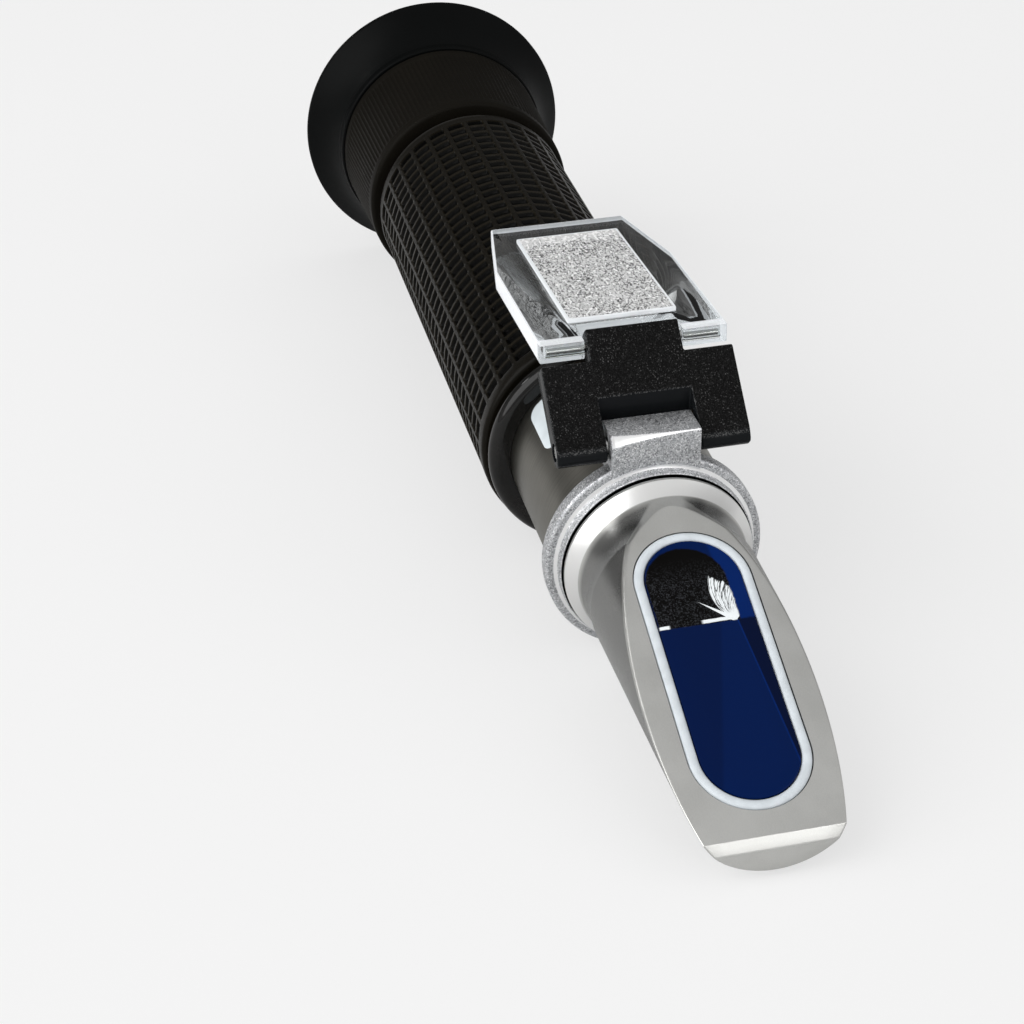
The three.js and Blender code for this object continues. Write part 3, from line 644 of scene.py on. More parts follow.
class Wire:
    """A value in a material. Arithmetic on it adds Math nodes."""

    def __init__(self, paint, socket):
        self.paint, self.socket = paint, socket

    def math(self, operation, *others):
        return self.paint.node("ShaderNodeMath", {"operation": operation}, dict(enumerate((self, *others))))

    def __add__(self, other): return self.math("ADD", other)
    def __sub__(self, other): return self.math("SUBTRACT", other)
    def __mul__(self, other): return self.math("MULTIPLY", other)
    def __rsub__(self, other): return self.math("MULTIPLY_ADD", -1.0, other)
    __radd__, __rmul__ = __add__, __mul__

    def ramp(self, low, high):
        """0 below low, 1 above high, and smooth between them."""
        ends = {"Value": self, "From Min": low, "From Max": high, "To Min": 0.0, "To Max": 1.0}
        return self.paint.node("ShaderNodeMapRange", {"interpolation_type": "SMOOTHSTEP"}, ends)

    def within(self, low, high, soft):
        """1 between low and high, and smooth over a soft width outside them."""
        return self.ramp(low - soft, low) * (1 - self.ramp(high, high + soft))


class Paint:
    """A material or world under construction: node() adds any node, and surface() or output() ends it."""

    def __init__(self, name, owner=None):
        self.owner = owner or bpy.data.materials.new(name)
        self.owner.use_nodes = True
        self.tree = self.owner.node_tree
        self.tree.nodes.clear()

    def node(self, kind, settings=None, values=None, output=0):
        """Adds a node of the kind, sets its settings, then the values or links of its sockets."""
        made = self.tree.nodes.new(kind)
        for key, value in (settings or {}).items():
            if key == "stops":
                stops = made.color_ramp.elements
                while len(stops) < len(value):
                    stops.new(1.0)
                for stop, (place, shade) in zip(stops, value):
                    stop.position, stop.color = place, (*shade, 1.0)
            else:
                setattr(made, key, value)
        for key, value in (values or {}).items():
            self.feed(made.inputs[key], value)
        return None if output is None else Wire(self, made.outputs[output])

    def feed(self, socket, value):
        if isinstance(value, Wire):
            self.tree.links.new(value.socket, socket)
        elif socket.type == "RGBA" and not isinstance(value, (int, float)):
            socket.default_value = (*value[:3], 1.0)
        else:
            socket.default_value = value

    def place(self, angle=0.0, origin=(0.0, 0.0, 0.0)):
        """The surface point in mm, in a frame turned about Y by the angle round an origin of the instrument."""
        turn = LEAN + angle
        start = to_world(np.array([origin], float))[0]
        c, s = math.cos(-turn), math.sin(-turn)
        shift = (c * start[0] + s * start[2], start[1], c * start[2] - s * start[0])
        point = self.node("ShaderNodeTexCoord", output="Object")
        values = {"Vector": point, "Location": [-v / MM for v in shift], "Rotation": (0.0, -turn, 0.0),
                  "Scale": (1 / MM,) * 3}
        return self.node("ShaderNodeMapping", {"vector_type": "POINT"}, values)

    def split(self, vector):
        return [self.node("ShaderNodeSeparateXYZ", values={0: vector}, output=k) for k in range(3)]

    def join(self, *parts):
        return self.node("ShaderNodeCombineXYZ", values=dict(enumerate(parts)))

    def noise(self, vector, scale, detail=2.0, roughness=0.5):
        values = {"Vector": vector, "Scale": scale, "Detail": detail, "Roughness": roughness}
        return self.node("ShaderNodeTexNoise", {"noise_dimensions": "3D"}, values)

    def grains(self, vector, scale):
        """A random value for each small cell."""
        colour = self.node("ShaderNodeTexVoronoi", {"feature": "F1"}, {"Vector": vector, "Scale": scale}, "Color")
        return self.split(colour)[0]

    def mix(self, share, first, second):
        return self.node("ShaderNodeMix", {"data_type": "RGBA"}, {0: share, 6: first, 7: second}, 2)

    def attribute(self, name):
        return self.node("ShaderNodeAttribute", {"attribute_name": name}, output="Fac")

    def bump(self, height, depth):
        return self.node("ShaderNodeBump", {}, {"Height": height, "Distance": depth * MM, "Strength": 1.0})

    def surface(self, values):
        """Ends the material with a shader that has these values or links."""
        return self.output(self.node("ShaderNodeBsdfPrincipled", {}, values))

    def output(self, shader, kind="ShaderNodeOutputMaterial"):
        """Ends the material or world with its shader."""
        self.node(kind, {}, {"Surface": shader}, None)
        return self.owner


def painted(name, *frame):
    """A new material, the surface point in a frame of the instrument, and the point's three parts."""
    paint = Paint(name)
    point = paint.place(*frame)
    return paint, point, *paint.split(point)


def turned_metal(name, light, shade, roughness=0.33, pitch=9.0, depth=0.004):
    """Metal with fine turning lines round the axis: noise that varies along x far more than round it."""
    paint, point, x, y, z = painted(name)
    lines = paint.noise(paint.join(x * pitch, y * 0.15, z * 0.15), 1.0, 3.0, 0.6)
    cloud = paint.noise(point, 0.12)
    grain = paint.noise(point, 11.0, 1.0)
    share = (lines * 0.6 + cloud * 0.5 - 0.05).ramp(0.3, 0.75)
    rough = roughness + (lines - 0.5) * 0.16 + (grain - 0.5) * 0.05
    return paint.surface({
        "Base Color": paint.mix(share, shade, light), "Metallic": 1.0, "Roughness": rough,
        "Normal": paint.bump(lines * 0.7 + grain * 0.3, depth)})


def blasted_metal(name, light, shade):
    """Bead-blasted metal: small random facets of two scales, each a little lighter, darker or smoother; a few grains
    carry painted glints and the lowest carry painted shade. The bevel on the boss and the one between the rim and
    the neck are machined bright, and the gap at the joint with the head is darkened as a painted shadow."""
    c = sizes("collar")
    paint, point, x, y, z = painted(name)
    fine, coarse = paint.grains(point, 7.5), paint.grains(point, 4.2)
    cloud = paint.noise(point, 0.35)
    # Painted glints: a few grains lifted towards white.
    painted_glint = fine.ramp(0.80, 0.95)
    # Painted shade in the pits: the lowest grains are darkened.
    pit = 1 - (fine * 0.6 + coarse * 0.4).ramp(0.12, 0.34)
    radius = (y * y + z * z).math("SQRT")
    flare = radius.within(c.neck + 0.06, c.neck + c.flare - 0.06, 0.03) * x.ramp(-c.rim - 0.05, -c.rim)
    low, back = c.boss_top - c.boss_bevel, -c.boss_front - c.boss_bevel_run
    bevel = (z.ramp(low - 0.02, low) * (1 - z.ramp(c.boss_top - 0.06, c.boss_top - 0.03))
             * x.ramp(back - 0.02, back) * (1 - x.ramp(-c.boss_front - 0.07, -c.boss_front - 0.04))
             * (1 - y.math("ABSOLUTE").ramp(c.boss_half - 0.12, c.boss_half - 0.08)))
    bright = (flare + bevel).math("MINIMUM", 1.0)
    rest = 1 - bright
    base = paint.mix((fine * 0.7 + coarse * 0.2 + cloud * 0.2).ramp(0.15, 0.95), shade, light)
    base = paint.mix(painted_glint * 0.8, base, (0.92, 0.92, 0.93))
    base = paint.mix(pit * 0.45, base, tuple(0.2 * v for v in shade))
    base = paint.mix(bright, base, (0.95, 0.95, 0.95))
    # Painted shadow in the gap at the joint with the head.
    gap_shadow = x.ramp(-0.12, -0.06) * (1 - radius.ramp(c.neck - 0.16, c.neck - 0.12))
    base = paint.mix(gap_shadow, base, (0.004, 0.004, 0.004))
    rough = 0.5 + (coarse - 0.5) * 0.2 * rest - bright * 0.22
    return paint.surface({
        "Base Color": base, "Metallic": 1.0, "Roughness": rough,
        "Normal": paint.bump((fine * 0.6 + coarse * 0.4) * rest, 0.02)})


def satin_metal(name, light, shade):
    """Fine satin metal: short drawn streaks along the slanted face over a smooth cloud. The flange's chamfer is
    turned bright, the sides under the slanted face carry painted shade that fades towards the tip, and the
    spigot is painted near-black as shade in the gap behind the flange."""
    head = sizes("head")
    paint, point, x, y, z = painted(name)
    below = paint.split(paint.place(*face_frame()))[2]
    streak = paint.noise(paint.join(x * 0.35, y * 14.0, z * 14.0), 1.0, 2.0)
    cloud = paint.noise(point, 0.16, 3.0)
    grain = paint.noise(point, 16.0, 1.0)
    share = (streak * 0.25 + cloud * 0.5 + grain * 0.25).ramp(0.3, 0.7)
    start = head.flange_start + head.flange_edge
    chamfer = x.ramp(start, start + 0.05) * (1 - x.ramp(start + head.flange_run - 0.1, start + head.flange_run))
    # Painted shade on the sides under the slanted face, fading towards the tip.
    side = (x.ramp(start + head.flange_run, start + head.flange_run + 1.0) * (1 - below.ramp(-0.45, -0.3))
            * (1 - x.ramp(head.reach - 8.0, head.reach - 1.0)))
    rough = 0.34 + (grain - 0.5) * 0.10 + (cloud - 0.5) * 0.12 - side * 0.06
    base = paint.mix(share, shade, light)
    base = paint.mix(chamfer * 0.9, base, (0.93, 0.93, 0.92))
    base = paint.mix(side * (0.52 + cloud * 0.25), base, (0.08, 0.08, 0.08))
    # Painted shade: the spigot, seen only in the gap behind the flange, is near-black.
    base = paint.mix(x.ramp(0.24, 0.28), (0.006, 0.006, 0.006), base)
    return paint.surface({
        "Base Color": base, "Metallic": 1.0, "Roughness": rough,
        "Normal": paint.bump(streak * 0.4 + grain * 0.6, 0.003)})


def grip_plastic(name, light, shade):
    """Moulded black plastic: the ribs are browner and smoother than the recesses, most so the cross ribs, partly as
    wear and partly as painted sheen. The near-black recesses and the darkened highest parts are painted shade,
    and the rear end is polished."""
    paint = Paint(name)
    point = paint.place()
    height = paint.attribute("height")
    grain = paint.noise(point, 6.5, 3.0)
    cloud = paint.noise(point, 0.13)
    # Browner ribs: partly wear, partly a painted sheen on the crests.
    wear_and_sheen = (height + (grain - 0.5) * 0.3).ramp(0.5, 0.85)
    base = paint.mix(wear_and_sheen * (0.55 + cloud * 0.7), shade, light)
    # Painted shade: the highest parts, the long ribs' tops and the plain end bands, are darkened half way to the
    # recess colour.
    base = paint.mix(height.ramp(0.9, 1.0) * 0.5, base, shade)
    back = -sizes("grip").back
    end = 1 - paint.split(point)[0].ramp(back + 0.8, back + 1.0)
    rough = 0.52 - wear_and_sheen * 0.22 + (grain - 0.5) * 0.16
    return paint.surface({
        "Base Color": base, "Roughness": rough, "Normal": paint.bump(grain * (1 - end), 0.02),
        "Specular IOR Level": 0.085, "Coat Weight": end * 0.9})


def black_plastic(name, base_colour, lift, roughness, grain_scale=8.0, depth=0.012, lines=0.0, gloss=0.5):
    """Dark plastic or rubber: a fine grain with slow clouding, and where asked faint moulding lines round the
    axis."""
    paint, point, x, y, z = painted(name)
    grain = paint.noise(point, grain_scale, 3.0)
    cloud = paint.noise(point, 0.16)
    rings = paint.noise(paint.join(x * 5.0, y * 0.1, z * 0.1), 1.0, 2.0)
    share = (grain * 0.5 + cloud * 0.6).ramp(0.35, 0.8)
    rough = roughness + (grain - 0.5) * 0.16 + (cloud - 0.5) * 0.10
    return paint.surface({
        "Base Color": paint.mix(share, base_colour, lift), "Roughness": rough, "Specular IOR Level": gloss,
        "Normal": paint.bump(grain + rings * lines, depth)})


def sparkling_plastic(name, base_colour, glint_colour):
    """Spark-eroded black plastic on the arm's wide faces, with tiny grains, a few of them painted bright as glints.
    The sides are smooth and glossy, and a dotted painted highlight runs along the edge between the two."""
    thick = sizes("cover").arm_thick
    paint = Paint(name)
    point = paint.place(*arm_frame())
    height = paint.split(point)[2].math("ABSOLUTE")
    wide = height.ramp(thick - 0.1, thick - 0.02)
    edge = height.ramp(thick - 0.20, thick - 0.15) * (1 - wide)
    fine, coarse = paint.grains(point, 10.5), paint.noise(point, 3.0, 3.0)
    cloud = paint.noise(point, 0.4)
    # Painted glints on a few grains, and a dotted painted highlight along the edge.
    painted_glint = (fine + (cloud - 0.5) * 0.15).ramp(0.93, 1.03) * wide
    edge_highlight_dots = fine.ramp(0.5, 0.9) * edge
    base = paint.mix(wide, (0.0075, 0.0085, 0.0095), base_colour)
    base = paint.mix(fine.ramp(0.4, 1.0) * wide * 0.12, base, glint_colour)
    base = paint.mix((painted_glint + edge_highlight_dots * 0.8).math("MINIMUM", 1.0), base, glint_colour)
    rough = 0.22 + wide * 0.36 - painted_glint * 0.25 + (coarse - 0.5) * 0.10
    return paint.surface({
        "Base Color": base, "Roughness": rough, "Specular IOR Level": 0.07,
        "Normal": paint.bump((fine * 0.7 + coarse * 0.6) * (wide + edge * 0.5) + coarse * 0.1, 0.03)})


def clear_plastic(name, tint):
    """Clear acrylic with faint handling marks in its gloss. Its cut edges are painted pale, with a glow, as painted
    highlights: the masks are the distance to the plate's outline, a band over the knuckles, and the raised
    window's clear rim."""
    a = sizes("cover")
    paint, point, x, y, z = painted(name, *plate_frame())
    slope = (a.plate_half - a.plate_tip) / (a.plate_length - a.plate_straight)
    side = a.plate_half - y.math("ABSOLUTE") - (x - a.plate_straight).math("MAXIMUM", 0.0) * slope
    inset = side.math("MINIMUM", a.plate_length - x)
    smear = paint.noise(point, 0.5, 4.0, 0.6)
    scratch = paint.noise(point, 5.0, 3.0)
    rough = 0.015 + (smear * scratch).ramp(0.25, 0.5) * 0.02
    edge = (1 - inset.ramp(0.16, 0.28)) * (0.86 + smear * 0.1) * x.ramp(-0.9, 0.2)
    face = -a.plate_face
    raised = 1 - z.ramp(face - 0.12, face - 0.06)
    band = (1 - x.ramp(0.15, 0.35)) * (1 - z.ramp(face + 0.04, face + 0.1)) * (0.5 + scratch * 0.4)
    clear = paint.node("ShaderNodeBsdfPrincipled", {}, {
        "Base Color": tint, "Roughness": rough, "Transmission Weight": 1.0, "IOR": 1.49,
        "Specular IOR Level": 0.2, "Normal": paint.bump(smear, 0.002)})
    # A pale, glowing shader that paints highlights on the edges, the knuckles and the window's rim.
    pale = paint.node("ShaderNodeBsdfPrincipled", {}, {
        "Base Color": (0.60, 0.61, 0.62), "Roughness": 0.25 + smear * 0.1, "Emission Color": (0.92, 0.96, 1.0),
        "Emission Strength": 0.42})
    share = (edge + band + raised * 0.85).math("MINIMUM", 0.92)
    return paint.output(paint.node("ShaderNodeMixShader", {}, {0: share, 1: clear, 2: pale}))


def frosted_plastic(name, light, shade):
    """Frosting: short dark curled marks, where noise runs close to its middle level, and small bright grains.
    Towards the plate's far end the marks thin out and the grains brighten, a painted highlight. A little glow stands
    for the light that the window lets through."""
    a = sizes("cover")
    paint, point, x, y, z = painted(name, *plate_frame())
    long = paint.join(x * 0.6, y, z)
    fine, coarse = paint.noise(long, 2.5, 2.0, 0.6), paint.grains(long, 4.2)
    cloud = paint.noise(point, 0.22)
    # Painted highlight: the far end of the window is lighter.
    far = x.ramp(a.window_to - 4.5, a.window_to - 1.0)
    level = (fine - 0.5).math("ABSOLUTE") + (coarse - 0.5) * 0.03 - (cloud - 0.5) * 0.06 + far * 0.03
    dark = (1 - level.ramp(0.02, 0.055)) * coarse.ramp(0.05, 0.4)
    bright = (fine + (coarse - 0.5) * 0.15 + far * 0.12).ramp(0.57, 0.67)
    base = paint.mix(dark, light, shade)
    base = paint.mix(bright * 0.7, base, (0.95, 0.95, 0.95))
    return paint.surface({
        "Base Color": base, "Roughness": 0.6 + dark * 0.2, "Normal": paint.bump(1 - dark, 0.05),
        "Specular IOR Level": 0.2, "Emission Color": base, "Emission Strength": 0.13})


def seal_compound(name, base_colour):
    """A soft pale sealing compound, slightly uneven and glossier in places."""
    paint = Paint(name)
    point = paint.place()
    lump, fine = paint.noise(point, 0.7, 3.0), paint.noise(point, 5.0)
    dim = tuple(0.90 * v for v in base_colour)
    return paint.surface({
        "Base Color": paint.mix(lump.ramp(0.35, 0.7), dim, base_colour), "Roughness": 0.32 + fine * 0.25,
        "Normal": paint.bump(lump * 0.8 + fine * 0.2, 0.03)})


def prism_glass(name, navy, navy_light):
    """Polished glass, deep blue from within. Up-slope a dark round-topped patch is painted as the shaded inside seen
    through the glass, frosted with grains, with pale painted reflections like torn shards at its far lower corner
    and thin painted slivers along its straight lower edge."""
    paint, point, u, v, _ = painted(name, *face_frame())
    # The painted dark patch, in mm down the slope and sideways: its round top's middle and radius, and its far
    #     # lower corner.
    middle_u, middle_v, radius, low, corner = -16.0, -0.8, 4.35, -10.6, 3.1
    above = (middle_u - u).math("MAXIMUM", 0.0)
    aside = v - middle_v
    distance = (above * above + aside * aside).math("SQRT")
    wobble = (paint.noise(point, 1.6) - 0.5) * 0.25
    # Inside the patch the glass is painted dark as the shaded inside seen through it.
    inside = 1 - (distance + wobble).ramp(radius - 0.12, radius + 0.12)
    hole = inside * (1 - (u + wobble * 0.4).ramp(low - 0.1, low + 0.1))
    grains, dust = paint.grains(point, 7.5), paint.noise(point, 2.4, 3.0, 0.7)
    # Painted reflections shaped as a feather and a thin shard fan out from that corner: the angle about it against
    #     # the slope, the distance, and the angle less a twist that grows with the distance.
    up, across = low - u, v - corner
    turn = across.math("ARCTAN2", up)
    far = (up * up + across * across).math("SQRT")
    twist = turn - far * 0.122
    barbs = paint.noise(paint.join(twist * 9.0, far * 0.25, 0.0), 1.0, 3.0, 0.6)
    gaps = 1 - (barbs - 0.5).math("ABSOLUTE").ramp(0.008, 0.045)
    feather_reflection = (twist.ramp(-0.99, -0.95) * (1 - (far + turn * 4.9 + (barbs - 0.5) * 1.6).ramp(4.5, 4.75))
               * (1 - gaps * far.ramp(0.8, 1.8)))
    shard_reflection = (0.34 - far * 0.072 - (turn + 0.885).math("ABSOLUTE") * far).ramp(0.0, 0.05)
    sliver_right = 1 - (v - 1.2).math("ABSOLUTE").ramp(1.5, 1.9)
    sliver_left = 1 - (v + 4.6).math("ABSOLUTE").ramp(0.4, 0.7)
    line = 1 - (u + 10.87 + (v + 1.0) * 0.02 + wobble * 0.4).math("ABSOLUTE").ramp(0.16, 0.26)
    # The painted reflections: feather, shard and slivers, inside the dark patch.
    white = ((feather_reflection + shard_reflection).math("MINIMUM", 1.0) + line * (sliver_right + sliver_left)) * hole
    white = white.math("MINIMUM", 1.0)
    cloud = paint.noise(point, 0.35)
    # Below the opening the far side is darker beyond a thin light seam, and the near side a little darker too.
    lower = (u + wobble).ramp(-10.8, -10.5)
    aside = v - (u + 10.65) * 0.09 - 3.24
    seam = (1 - aside.math("ABSOLUTE").ramp(0.05, 0.16)) * lower
    beyond = aside.ramp(0.0, 0.1) * lower
    nearer = (1 - (v + (u + 6.9) * 0.268).ramp(0.2, 0.7)) * lower
    blue = paint.mix((aside.ramp(0.0, 0.4) * (1 - lower) + seam * 0.9) * (0.75 + cloud * 0.5), navy, navy_light)
    blue = paint.mix(beyond * 0.65 + nearer * 0.25, blue, (0.0, 0.0006, 0.006))
    black = paint.mix((grains * 0.7 + dust * 0.5).ramp(0.55, 1.05) * u.ramp(-19.5, -15.0),
                      (0.0012, 0.0010, 0.0009), (0.03, 0.032, 0.036))
    base = paint.mix(hole, blue, black)
    base = paint.mix(white, base, (0.86, 0.90, 0.92))
    return paint.surface({
        "Base Color": base, "Roughness": 0.06 + white * 0.3 + cloud * 0.03,
        "Specular IOR Level": 0.06, "Normal": paint.bump(cloud, 0.004)})


def pale_strip(name, base_colour):
    """A pale, smooth film, slowly clouded, with nothing on it."""
    paint = Paint(name)
    point = paint.place()
    cloud, fine = paint.noise(point, 0.3), paint.noise(point, 9.0)
    dim = tuple(0.86 * v for v in base_colour)
    return paint.surface({
        "Base Color": paint.mix(cloud.ramp(0.3, 0.7), dim, base_colour), "Roughness": 0.3 + fine * 0.12,
        "Normal": paint.bump(fine, 0.003)})


def lens_glass(name, tint):
    """Polished optical glass with a faint coating tint that varies slowly."""
    paint = Paint(name)
    point = paint.place()
    smear = paint.noise(point, 0.6, 3.0)
    return paint.surface({
        "Base Color": tint, "Roughness": smear.ramp(0.4, 0.9) * 0.05 + 0.01, "Transmission Weight": 1.0,
        "IOR": 1.52, "Coat Weight": 0.4 + smear * 0.3})


LOOKS = {}
BLACK, DARK = (0.003, 0.003, 0.003), (0.012, 0.011, 0.010)

# Each finish: its function, then its colours and numbers. A colour is a name from Finishes, such a name with a
# factor, or three numbers.
FINISHES = {
    "tube satin": (turned_metal, "tube", "tube_shade"),
    "blasted collar": (blasted_metal, "cast", "cast_shade"),
    "head satin": (satin_metal, "head", "head_shade"),
    "grip plastic": (grip_plastic, "grip", "grip_shade"),
    "polished black": (black_plastic, "gloss", DARK, 0.09, 3.0, 0.002, 0.1, 0.3),
    "focus plastic": (black_plastic, "focus", ("focus", 1.35), 0.5, 8.0, 0.012, 0.0, 0.05),
    "cup rubber": (black_plastic, "cup", ("cup", 1.3), 0.42, 5.0, 0.006, 0.2, 0.055),
    "seal rubber": (black_plastic, "cup", DARK, 0.6),
    "black anodised": (black_plastic, BLACK, DARK, 0.38, 6.0, 0.006, 1.0),
    "arm plastic": (sparkling_plastic, "arm", "arm_spark"),
    "clear acrylic": (clear_plastic, "acrylic"),
    "frosting": (frosted_plastic, "frost", "frost_shade"),
    "sealing compound": (seal_compound, "seal"),
    "blue glass": (prism_glass, "navy", "navy_light"),
    "pale film": (pale_strip, "strip"),
    "lens glass": (lens_glass, (0.93, 0.97, 0.98)),
    "turned steel": (turned_metal, "steel", ("steel", 0.7), 0.26, 14.0),
    "rolled strip": (turned_metal, (0.55, 0.51, 0.46), (0.38, 0.34, 0.30), 0.4, 3.0),
    "turned brass": (turned_metal, "brass", ("brass", 0.7), 0.3, 12.0),
}


def look_value(entry):
    """A colour or number of the table above as the finish's function takes it."""
    if isinstance(entry, str):
        entry = (entry, 1.0)
    if isinstance(entry, tuple) and isinstance(entry[0], str):
        return tuple(entry[1] * v for v in getattr(sizes("finish"), entry[0]))
    return entry


def look(name):
    """The named finish, made once."""
    if name not in LOOKS:
        maker, *entries = FINISHES[name]
        LOOKS[name] = maker(name, *map(look_value, entries))
    return LOOKS[name]


# ---------------------------------------------------------------- pieces

class REFRACTOMETER_OT_tube(bpy.types.Operator):
    """The metal tube with the hole for the calibration bush, the round ring and the pale strip"""
    bl_idname = "refractometer.tube"
    bl_label = "Tube and ring"

    def execute(self, context):
        t = sizes("tube")
        inner, edge = t.radius - t.wall, 0.25
        ends = [(-t.back, inner, edge), (-t.back, t.radius, edge), (-t.front, t.radius, edge),
                (-t.front, inner, edge)]
        tube = new_object(lathe("tube", outline(ends)))
        hole = rod("hole", inner - t.wall, t.radius + BEYOND, t.bush_hole, place=upright(-t.bush_at))
        shaped(tube, "DIFFERENCE", hole)
        finished(tube, "barrel", "satin_metal", "tube satin", "barrel_tube")

        foot, half, back = t.radius + 0.05, t.ring_width / 2, -t.ring_front - t.ring_width
        ring = outline([(back, foot, 0), (back, t.ring_radius, half), (-t.ring_front, t.ring_radius, half),
                        (-t.ring_front, foot, 0)], steps=10)
        piece(lathe("round_ring", ring), "barrel", "gloss_black", "polished black", "front_ring", crease=50)
        self.strip(t)
        return {"FINISHED"}

    def strip(self, t):
        """The strip: a rounded rectangle in depth and arc length, wrapped onto the tube and given a thickness."""
        low, high = -t.strip_low * t.radius, -t.strip_high * t.radius
        corners = rectangle((-t.strip_to, -t.strip_from), (low, high))
        shape = outline([(*c, t.strip_corner) for c in corners], steps=8)
        # Even steps along the outline let its straight sides bend round the tube.
        closed = np.concatenate([shape, shape[:1]])
        run = np.concatenate([[0.0], np.cumsum(np.linalg.norm(np.diff(closed, axis=0), axis=1))])
        even = np.linspace(0.0, run[-1], 121)[:-1]
        shape = np.stack([np.interp(even, run, closed[:, k]) for k in (0, 1)], -1)
        middle = np.array([(-t.strip_from - t.strip_to) / 2, (low + high) / 2])
        # From the middle of the top over the edge to the middle of the underside, which lies in the tube.
        share = np.array([0.0, 0.35, 0.65, 0.85, 0.97, 1.0, 1.0, 0.97, 0.85, 0.65, 0.35, 0.0])
        rise = np.array([1.0] * 5 + [0.6, -0.4] + [-0.6] * 5) * t.strip_thickness
        flat = middle + (shape - middle) * share[:, None, None]
        grid = around(flat[..., 0], t.radius + rise[:, None], flat[..., 1] / t.radius)
        piece(make_mesh("pale_strip", grid), "barrel", "seal", "pale film", crease=60)


class REFRACTOMETER_OT_collar(bpy.types.Operator):
    """The blasted collar, its boss, the arm's pin and the calibration screw in its bush"""
    bl_idname = "refractometer.collar"
    bl_label = "Collar and screw"

    def execute(self, context):
        c = sizes("collar")
        ring = outline([
            (-c.back, c.seat, 0.15), (-c.back, c.radius, c.edge), (-c.rim, c.radius, c.edge),
            (-c.rim, c.neck + c.flare, 0.06), (-c.rim + 0.2, c.neck, 0.06), (0.0, c.neck, 0.2), (0.0, c.bore, 0.2),
            (-c.shoulder, c.bore, 0.1), (-c.shoulder, c.seat, 0.1)])
        piece(lathe("collar", ring), "barrel", "cast_metal", "blasted collar", "hinge_collar")
        pivot = crossways(along_axis, -c.pivot_back, c.pivot_high)
        self.boss(c, pivot)
        reach = sizes("cover").arm_half - ROOM
        pin = rod("arm_pin", -reach, reach, c.pin, 0.12, place=pivot)
        piece(pin, "barrel", "steel", "turned steel", "arm_hinge_pin")
        self.screw()
        return {"FINISHED"}

    def boss(self, c, pivot):
        """A block on the collar. Its front bevel tapers from one side to the other with the square of the
        distance."""
        foot = math.sqrt(c.neck ** 2 - c.boss_half ** 2) - 0.6
        back, front, top, run = -c.boss_back, -c.boss_front, c.boss_top, c.boss_bevel_run
        y = np.linspace(-c.boss_half, c.boss_half, 25)
        grow = 0.18 + 0.82 * ((c.boss_half - y) / (2 * c.boss_half)) ** 2
        corners = [(back, foot), (front, foot), (front, top - c.boss_bevel * grow), (front - run * grow, top),
                   (back + run / 2, top), (back, top - run / 2)]
        grid = np.stack([np.stack(np.broadcast_arrays(x, y, z), -1) for x, z in corners], 1)
        boss = new_object(make_mesh("hinge_boss", grid, caps=2))
        shaped(boss, "DIFFERENCE", rod("throat", back - BEYOND, BEYOND, (c.bore + c.neck) / 2, sides=128),
               rod("seat", back - BEYOND, -c.shoulder + 0.6, c.seat + ROOM, sides=128))
        rounded(boss, 0.09, 2, 22)
        half = c.boss_half + BEYOND
        shaped(boss, "DIFFERENCE", rod("hole", -half, half, c.pin + c.pin_room, place=pivot))
        finished(boss, "barrel", "cast_metal", "blasted collar", "hinge_collar")

    def screw(self):
        """The bush in the top of the tube, and the slotted screw in the bush."""
        t, s = sizes("tube"), sizes("screw")
        raised = upright(-t.bush_at)
        bush = outline([
            (s.bush_low, s.stem + ROOM, 0), (s.bush_low, s.bush, 0.1), (s.bush_top, s.bush, 0.18),
            (s.bush_top, s.head + ROOM, 0.12), (s.seat, s.head + ROOM, 0), (s.seat, s.stem + ROOM, 0)])
        bush = lathe("calibration_bush", bush, 64, place=raised)
        piece(bush, "barrel", "bush_brass", "turned brass", "screw_bush")
        neck = s.head_top - s.head_high
        screw = outline([(s.stem_low, 0, 0), (s.stem_low, s.stem, 0.15), (neck, s.stem, 0), (neck, s.head, 0.1),
                         (s.head_top, s.head, 0.22), (s.head_top, 0, 0)], False)
        screw = new_object(lathe("slotted_screw", screw, 64, ring=False, place=raised))
        slot = rectangle((-t.bush_at - s.slot / 2, -t.bush_at + s.slot / 2), (-s.head - 1, s.head + 1))
        shaped(screw, "DIFFERENCE", plank("slot", slot, s.head_top - s.slot_deep, s.head_top + 1))
        finished(screw, "adjuster", "steel", "turned steel", "calibration_screw")


